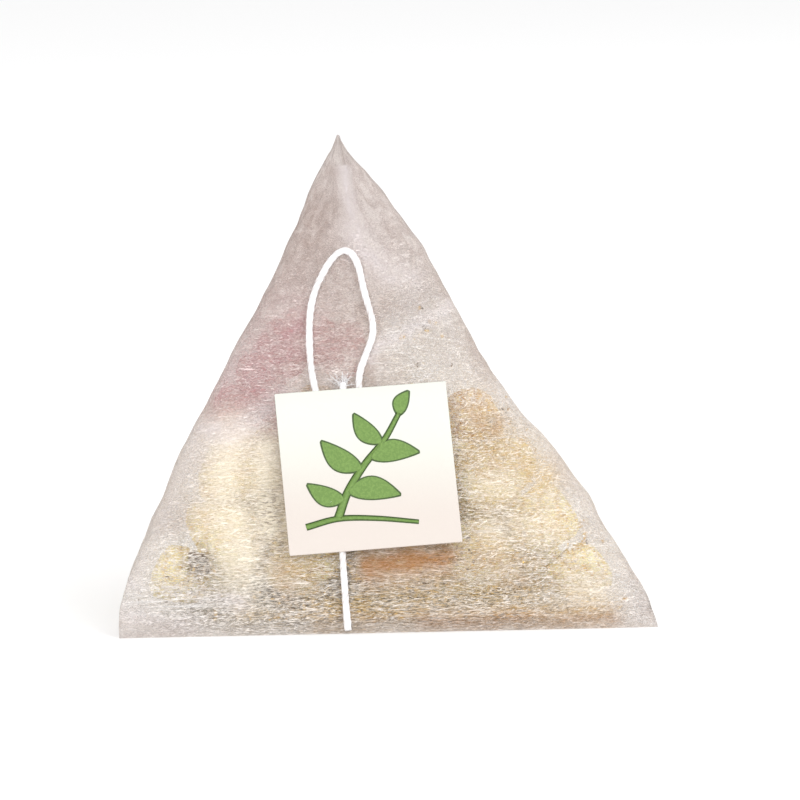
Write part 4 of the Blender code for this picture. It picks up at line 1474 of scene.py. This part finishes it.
@dataclass
class Crumbs:
    """Small broken bits of leaf that lie against the inside of the front cloth."""

    front: FrontCloth
    depth: tuple = (0.25, 0.75)  # millimetres behind the cloth
    size: tuple = (0.10, 0.42)  # half, in millimetres
    lowest: float = 0.45 * MM
    room: float = 1.5 * MM  # that a crumb needs behind the cloth
    start: float = 0.02  # millimetres behind the cloth, from where the room is measured
    seed: int = 23

    def build(self, filling: Filling) -> None:
        """Makes the dark ones and the tan ones, one piece each, and adds them to the filling."""
        chance = np.random.default_rng(self.seed)
        bits: dict = {"dark": [], "tan": []}
        for heap in HEAPS:
            for _ in range(heap.count):
                across = chance.normal(heap.across, heap.wide / 2)
                up = abs(chance.normal(heap.up, heap.high / 2))
                bit = self.bit(across * MM, max(up * MM, self.lowest), chance)
                if bit is not None:
                    bits["tan" if chance.uniform() < heap.tan else "dark"].append(bit)
        finishes = {
            "dark": DriedFinish(
                "dark leaf", (0.14, 0.08, 0.035, 1), (0.05, 0.03, 0.016, 1), (0.01, 0.01, 0.01, 1)
            ),
            "tan": DriedFinish(
                "tan leaf", (0.86, 0.60, 0.22, 1), (0.50, 0.29, 0.07, 1), (0.2, 0.08, 0.02, 1)
            ),
        }
        for name, group in bits.items():
            piece = self.gather(f"{name}_crumbs", group)
            ride(piece, finishes[name].make())
            filling.pieces.append(piece)

    def bit(self, across: float, up: float, chance: np.random.Generator) -> np.ndarray | None:
        """The eight corners of one crumb, or None where there is no cloth before it or no room for it."""
        spot = self.front.spot(across, up)
        if spot is None:
            return None
        point, normal = spot
        if self.front.tree.ray_cast(point - normal * self.start * MM, -normal, self.room)[0] is not None:
            return None
        middle = np.array(point - normal * chance.uniform(*self.depth) * MM)
        turn = np.linalg.qr(chance.normal(size=(3, 3)))[0]
        half = chance.uniform(*self.size, 3) * (1.5, 1.0, 0.5) * MM
        corners = np.array([(x, y, z) for x in (-1, 1) for y in (-1, 1) for z in (-1, 1)])
        return middle + (corners * chance.uniform(0.55, 1.0, (8, 3)) * half) @ turn

    @staticmethod
    def gather(name: str, group: list) -> bpy.types.Object:
        """Many crumbs as one piece."""
        faces = []
        for i in range(len(group)):
            for side in ((0, 1, 3, 2), (4, 6, 7, 5), (0, 4, 5, 1), (2, 3, 7, 6), (0, 2, 6, 4), (1, 5, 7, 3)):
                faces.append(tuple(8 * i + corner for corner in side))
        piece = mesh_from(name, np.concatenate(group), faces)
        rounder = piece.modifiers.new("rounder", "SUBSURF")
        rounder.levels = rounder.render_levels = 1
        apply_modifiers(piece)
        set_attribute(piece, FOLD_SHADE, np.zeros(len(piece.data.vertices)))
        return piece


# The tag


@dataclass
class TagCard:
    """The square card with a printed leaf sprig."""

    plane: TagPlane
    bow: float = 0.10 * MM
    soft_edge: float = 0.06 * MM
    cuts: int = 10  # across each face, so that it can bow
    stem_width: float = 0.75 * MM
    ground_width: float = 0.5 * MM
    ink: float = 0.025 * MM
    edge: float = 0.16 * MM  # how far the darker outline stands out round a leaf
    dark_ink: InkFinish = InkFinish("dark green ink", (0.030, 0.062, 0.008, 1), (0.045, 0.095, 0.014, 1))
    green_ink: InkFinish = InkFinish("green ink", (0.105, 0.195, 0.034, 1), (0.145, 0.250, 0.052, 1))
    parts: list = field(default_factory=list)

    def rise(self, across: np.ndarray, up: np.ndarray) -> np.ndarray:
        """How far the card bows out of its plane."""
        across = across / (self.plane.width / 2)
        up = up / (self.plane.height / 2)
        return self.bow * 0.5 * (across**2 - up * across)

    def build_card(self) -> bpy.types.Object:
        """The card, with slightly soft edges."""
        clear_selection()
        bpy.ops.mesh.primitive_cube_add(size=1.0)
        card = bpy.context.object
        card.name = "tag_card"
        sizes = (self.plane.width, self.plane.height, self.plane.thickness)
        edit(card, (bpy.ops.transform.resize, {"value": sizes}))
        soft = card.modifiers.new("soft edges", "BEVEL")
        soft.width = self.soft_edge
        soft.segments = 2
        apply_modifiers(card)
        edit(card, (bpy.ops.mesh.subdivide, {"number_cuts": self.cuts}))
        points = corners_of(card)
        points[:, 2] += self.rise(points[:, 0], points[:, 1])
        set_corners(card, points)
        card.data.transform(self.plane.matrix())
        card.data.shade_smooth()
        card.data.set_sharp_from_angle(angle=math.radians(50))
        return card

    def leaf(self, foot: tuple, turn: float, length: float, width: float, grow: float) -> bpy.types.Object:
        """A pointed leaf as a thin layer of ink.

        Args:
            foot: Where it meets the stem.
            turn: Its direction from the card's right, in radians.
            length: From foot to tip.
            width: At its widest.
            grow: How far its outline stands out, for the darker layer under it.

        Returns:
            The leaf, in the card's frame.
        """
        clear_selection()
        bpy.ops.mesh.primitive_circle_add(vertices=56, radius=1.0, fill_type="TRIFAN")
        leaf = bpy.context.object
        points = corners_of(leaf)
        run = (points[:, 0] + 1) / 2
        fat = np.sign(points[:, 1]) * np.abs(np.sin(math.pi * run**0.85)) ** 0.9
        along = run * length + points[:, 0] * grow
        aside = (fat * width / 2 + np.sign(points[:, 1]) * grow) * (np.abs(points[:, 1]) > 1e-4)
        aside = aside + 0.10 * length * np.sin(math.pi * run)
        c, s = math.cos(turn), math.sin(turn)
        x = foot[0] + along * c - aside * s
        y = foot[1] + along * s + aside * c
        set_corners(leaf, np.stack([x, y, np.zeros_like(x)], axis=1))
        return leaf

    def stem(self, route: tuple, wide: float, grow: float) -> bpy.types.Object:
        """A stroke that tapers towards its end, as a thin layer of ink."""
        path = smooth_route(route, 0.25 * MM)
        ahead = headings(path)
        aside = np.stack([-ahead[:, 1], ahead[:, 0]], axis=1)
        taper = np.linspace(1.0, 0.45, len(path))[:, None] * wide / 2 + grow
        points = np.concatenate([path + aside * taper, path - aside * taper])
        points = np.concatenate([points, np.zeros((len(points), 1))], axis=1)
        count = len(path)
        faces = [(i, i + count, i + count + 1, i + 1) for i in range(count - 1)]
        return mesh_from("stem", points, faces)

    def print_layer(self, name: str, grow: float, level: float) -> bpy.types.Object:
        """All strokes of the print in one layer.

        Args:
            name: The layer's name.
            grow: How far its outlines stand out.
            level: Its height above the card.

        Returns:
            The layer.
        """
        shapes = [self.stem(SPRIG_STEM, self.stem_width, grow)]
        shapes += [self.leaf(*leaf, grow) for leaf in SPRIG_LEAVES]
        shapes.append(self.stem(SPRIG_GROUND, self.ground_width, grow))
        layer = join(shapes, name)
        thick = layer.modifiers.new("ink", "SOLIDIFY")
        thick.thickness = self.ink
        thick.offset = 1.0
        apply_modifiers(layer)
        points = corners_of(layer)
        points[:, 2] = np.abs(points[:, 2])
        points[:, 2] += self.plane.thickness / 2 + level + self.rise(points[:, 0], points[:, 1])
        set_corners(layer, points)
        layer.data.transform(self.plane.matrix())
        edit(layer, (bpy.ops.mesh.normals_make_consistent, {"inside": False}))
        return layer

    def build(self) -> None:
        """The card and its print."""
        card = self.build_card()
        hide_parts("tag")
        ride(card, CardFinish().make())
        dark = self.print_layer("tag_print_outline", self.edge, 0.0)
        ride(dark, self.dark_ink.make())
        light = self.print_layer("tag_print", 0.0, self.ink)
        ride(light, self.green_ink.make())
        self.parts = [card, dark, light]


# The print: a leaf sprig over a low ground line, in metres from the card's middle.
SPRIG_STEM = ((-0.0040, -0.0056), (-0.0026, -0.0026), (-0.0004, 0.0004), (0.0022, 0.0032), (0.0042, 0.0062))
SPRIG_GROUND = ((-0.0078, -0.0064), (-0.0040, -0.0057), (0.0004, -0.0060), (0.0052, -0.0068))
SPRIG_LEAVES = (
    # foot, direction, length, width
    ((-0.0031, -0.0036), math.radians(152), 0.0046, 0.0021),
    ((-0.0026, -0.0026), math.radians(-8), 0.0060, 0.0026),
    ((-0.0008, -0.0001), math.radians(140), 0.0056, 0.0025),
    ((0.0004, 0.0012), math.radians(2), 0.0056, 0.0024),
    ((0.0018, 0.0028), math.radians(128), 0.0046, 0.0021),
    ((0.0041, 0.0060), math.radians(62), 0.0030, 0.0016),
)


# The string


# Where the thread is seen to run, in metres across from the seal's middle and up.
STRING_ROUTE = (
    (-0.0046, 0.0003), (-0.0047, 0.0022), (-0.0048, 0.0044), (-0.0049, 0.0067), (-0.0050, 0.0092),
    (-0.0056, 0.0122), (-0.0069, 0.0156), (-0.0078, 0.0192), (-0.0078, 0.0226), (-0.0073, 0.0255),
    (-0.0077, 0.0278), (-0.0079, 0.0303), (-0.0079, 0.0328), (-0.0077, 0.0350), (-0.0071, 0.0371),
    (-0.0061, 0.0391), (-0.0049, 0.0408), (-0.0036, 0.0418), (-0.0025, 0.0414), (-0.0019, 0.0400),
    (-0.0014, 0.0380), (-0.0009, 0.0358), (-0.0004, 0.0338), (-0.0006, 0.0318), (-0.0014, 0.0300),
    (-0.0022, 0.0282), (-0.0024, 0.0264), (-0.0020, 0.0244), (-0.0013, 0.0223), (-0.0012, 0.0202),
    (-0.0023, 0.0186), (-0.0038, 0.0186), (-0.0049, 0.0202), (-0.0051, 0.0223), (-0.0047, 0.0245),
    (-0.0043, 0.0262), (-0.0042, 0.0272),
)  # fmt: skip


@dataclass
class TagString:
    """The cotton thread, three plies twisted, with fuzz and a frayed cut end."""

    plane: TagPlane
    front: FrontCloth
    diameter: float = 0.8 * MM
    step: float = 0.16 * MM
    twist: float = 3.0 * MM  # length in which a ply goes once round
    plies: int = 3
    sides: int = 18
    gap: float = 0.05 * MM  # to what it lies on
    leave: float = 3.0 * MM  # beside the tag, over which it passes from the tag to the cloth
    even_rounds: int = 14
    hairs: int = 260
    hair_length: tuple = (0.3, 0.9)  # millimetres
    hair_thickness: float = 0.035 * MM
    strands: int = 34  # of the cut end
    strand_length: tuple = (1.2, 2.1)  # millimetres
    strand_thickness: float = 0.09 * MM
    hair_steps: int = 4
    hair_bend: float = 0.35
    seed: int = 5
    path: np.ndarray = field(default=None)

    def on_cloth(self, across: float, up: float) -> np.ndarray:
        """The thread's middle where it lies on the cloth, seen at a place across and up."""
        point, normal = self.front.spot(across, up)
        return np.array(point + (self.gap + self.diameter / 2) * normal)

    def behind_tag(self, across: float, up: float) -> np.ndarray:
        """The thread's middle where it lies against the tag's back."""
        level = -(self.plane.thickness / 2 + self.gap + self.diameter / 2)
        base = self.plane.middle + level * self.plane.normal
        spot = np.array([across + self.front.offset[0], 0.0, up])
        spot[1] = base[1] - ((spot - base)[[0, 2]] @ self.plane.normal[[0, 2]]) / self.plane.normal[1]
        return spot

    def lay(self) -> None:
        """Works out the thread's path."""
        points = []
        for across, up in smooth_route(STRING_ROUTE, 0.2 * MM):
            rest = self.on_cloth(across, up)
            share = float(self.plane.covers(rest[None], self.leave)[0])
            points.append(rest + share * (self.behind_tag(across, up) - rest))
        self.path = smooth_route(self.evened(np.array(points)), self.step)

    def evened(self, points: np.ndarray) -> np.ndarray:
        """The path without the small steps of the cloth's facets."""
        for _ in range(self.even_rounds):
            points[1:-1] = softened(points)
        return points

    def outline(self, angles: np.ndarray, number: int) -> np.ndarray:
        """The radii of the twisted plies at one place of the path."""
        turned = angles - math.tau * number * self.step / self.twist
        lobe = np.abs(np.cos(self.plies / 2 * turned))
        uneven = 1 + 0.04 * math.sin(number * 0.21) + 0.03 * math.sin(number * 0.083 + 1)
        return self.diameter / 2 * uneven * (0.86 + 0.16 * lobe**0.7)

    def build_thread(self) -> bpy.types.Object:
        """The thread itself."""
        points, faces = tube(self.path, self.sides, self.outline)
        thread = mesh_from("tag_string", points, faces)
        middle = np.repeat(self.path, self.sides, axis=0)
        radius = np.linalg.norm(points - middle, axis=1) / (self.diameter / 2)
        # Painted shade where the surface dips in between the plies.
        set_attribute(thread, FOLD_SHADE, np.clip((1.0 - radius) / 0.14, 0, 1))
        return thread

    def hair(self, root: np.ndarray, ahead: np.ndarray, length: float, thick: float, chance: object) -> tuple:
        """One loose fibre that bends as it goes."""
        points = [root]
        way = ahead
        for _ in range(self.hair_steps):
            way = unit(way + chance.normal(size=3) * self.hair_bend)
            points.append(points[-1] + way * length / self.hair_steps)
        taper = np.linspace(1.0, 0.35, len(points)) * thick / 2
        return tube(np.array(points), 4, lambda angles, i: np.full(len(angles), taper[i]))

    def bundle(self, name: str, fibres: list) -> bpy.types.Object:
        """Many fibres as one piece."""
        points: list = []
        faces: list = []
        for places, sides in fibres:
            start = sum(len(block) for block in points)
            points.append(places)
            faces += [tuple(start + i for i in side) for side in sides]
        piece = mesh_from(name, np.concatenate(points), faces)
        set_attribute(piece, FOLD_SHADE, np.zeros(len(piece.data.vertices)))
        return piece

    def build_fuzz(self, chance: np.random.Generator) -> bpy.types.Object:
        """Short loose fibres along the thread."""
        fibres = []
        for _ in range(self.hairs):
            i = int(chance.integers(2, len(self.path) - 2))
            along = unit(self.path[i + 1] - self.path[i - 1])
            out = unit(np.cross(along, chance.normal(size=3)))
            if out @ self.plane.normal < -0.2:
                out = -out
            root = self.path[i] + out * self.diameter * 0.42
            way = unit(out * chance.uniform(0.2, 0.9) + along * chance.choice((-1, 1)) * 0.9)
            length = chance.uniform(*self.hair_length) * MM
            fibres.append(self.hair(root, way, length, self.hair_thickness, chance))
        return self.bundle("tag_string_fuzz", fibres)

    def build_frayed_end(self, chance: np.random.Generator) -> bpy.types.Object:
        """The loose fibres of the cut end, fanned out over the cloth."""
        end = self.path[-1]
        ahead = unit(self.path[-1] - self.path[-6])
        fibres = []
        for _ in range(self.strands):
            spread = chance.uniform(-1.0, 1.0)
            way = ahead + self.plane.across * spread * 0.95 + self.plane.normal * chance.uniform(-0.05, 0.25)
            root = end - ahead * chance.uniform(0.1, 0.5) * MM + self.plane.across * spread * 0.25 * MM
            length = chance.uniform(*self.strand_length) * MM
            fibres.append(self.hair(root, unit(way), length, self.strand_thickness, chance))
        return self.bundle("tag_string_frayed_end", fibres)

    def build(self, tag_parts: list) -> None:
        """The thread with all that is on it."""
        chance = np.random.default_rng(self.seed)
        self.lay()
        cotton = CottonFinish().make()
        thread = self.build_thread()
        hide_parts("string")
        ride(thread, cotton)
        loose = [self.build_fuzz(chance), self.build_frayed_end(chance)]
        for piece in loose:
            ride(piece, cotton)
        [tuple(point) for point in self.path[::6]] + [tuple(self.path[-1])]


# The studio


@dataclass(frozen=True)
class Lamp:
    """A large soft light that faces the object, in metres and watts."""

    name: str
    place: tuple
    size: float
    power: float


@dataclass
class Studio:
    """Floor, lights and camera. The camera stands where the photograph was taken from."""

    offset: np.ndarray
    eye: tuple = (-39.2, -422.2, 95.3)  # millimetres, in the form's frame
    look: tuple = (0.0945, 0.9828, -0.1590)
    lens: float = 170.4  # millimetres, for a sensor 36 mm wide
    floor_size: float = 80.0
    world_light: float = 1.0
    lamps: tuple = (
        Lamp("key", (0.55, -0.55, 0.45), 0.4, 2.6),
        Lamp("fill", (-0.30, -0.75, 0.22), 0.5, 3.2),
        Lamp("back", (0.75, 0.40, 0.40), 0.5, 1.5),
    )
    aim: tuple = (0.0, 0.0, 0.02)  # where the lamps point

    def place_camera(self) -> None:
        """The camera at the photograph's angle."""
        data = bpy.data.cameras.new("camera")
        data.lens = self.lens
        data.sensor_width = 36.0
        data.clip_start = 0.01
        camera = bpy.data.objects.new("camera", data)
        bpy.context.scene.collection.objects.link(camera)
        camera.location = Vector(self.eye) * MM + Vector(self.offset)
        camera.rotation_euler = Vector(self.look).to_track_quat("-Z", "Y").to_euler()
        bpy.context.scene.camera = camera

    def lay_floor(self) -> None:
        """A plain flat floor, wide enough to fill every view."""
        clear_selection()
        bpy.ops.mesh.primitive_plane_add(size=self.floor_size, location=(0, 0, 0))
        floor = bpy.context.object
        floor.name = "floor"
        floor.data.materials.append(FloorFinish().make())

    def add_lamp(self, lamp: Lamp) -> None:
        """Hangs one lamp."""
        data = bpy.data.lights.new(lamp.name, "AREA")
        data.size = lamp.size
        data.energy = lamp.power
        light = bpy.data.objects.new(lamp.name, data)
        bpy.context.scene.collection.objects.link(light)
        light.location = lamp.place
        light.rotation_euler = (Vector(self.aim) - Vector(lamp.place)).to_track_quat("-Z", "Y").to_euler()

    def light(self) -> None:
        """Soft light from above and from the right, a pale surround, and colours shown as they are."""
        for lamp in self.lamps:
            self.add_lamp(lamp)
        bpy.context.scene.view_settings.view_transform = "Standard"
        world = bpy.data.worlds.new("surround")
        world.use_nodes = True
        sky = world.node_tree.nodes["Background"]
        sky.inputs["Color"].default_value = (1.0, 1.0, 1.0, 1.0)
        sky.inputs["Strength"].default_value = self.world_light
        bpy.context.scene.world = world

    def build(self) -> None:
        """Everything round the object."""
        self.place_camera()
        self.lay_floor()
        self.light()


def main() -> None:
    """Builds the looks round the frame, piece by piece."""
    logging.basicConfig(level=logging.INFO, format="%(message)s")
    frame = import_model()
    nodes = frame["nodes"]

    form = BagForm()
    rings, _ = form.grid()
    low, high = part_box("bag")
    middle = box_middle(rings.reshape(-1, 3))
    offset = np.array([(low.x + high.x) / 2 - middle[0], (low.y + high.y) / 2 - middle[1], 0.0])
    Studio(offset).build()

    filling = Filling(nodes)
    filling.build()
    plane = TagPlane(nodes["tag"])
    bag = BagCloth(form, offset, plane)
    bag.shape(filling.press_on_cloth())
    cloth = bag.build()
    corners = [vertex.co for vertex in cloth.data.vertices]
    faces = [list(face.vertices) for face in cloth.data.polygons]
    front = FrontCloth(BVHTree.FromPolygons(corners, faces), offset)
    Crumbs(front).build(filling)
    bag.veil(cloth, filling.search_tree())
    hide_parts("bag")
    ride(cloth, ClothFinish().make())

    card = TagCard(plane)
    card.build()
    TagString(plane, front).build(card.parts)


if __name__ == "__main__":
    main()
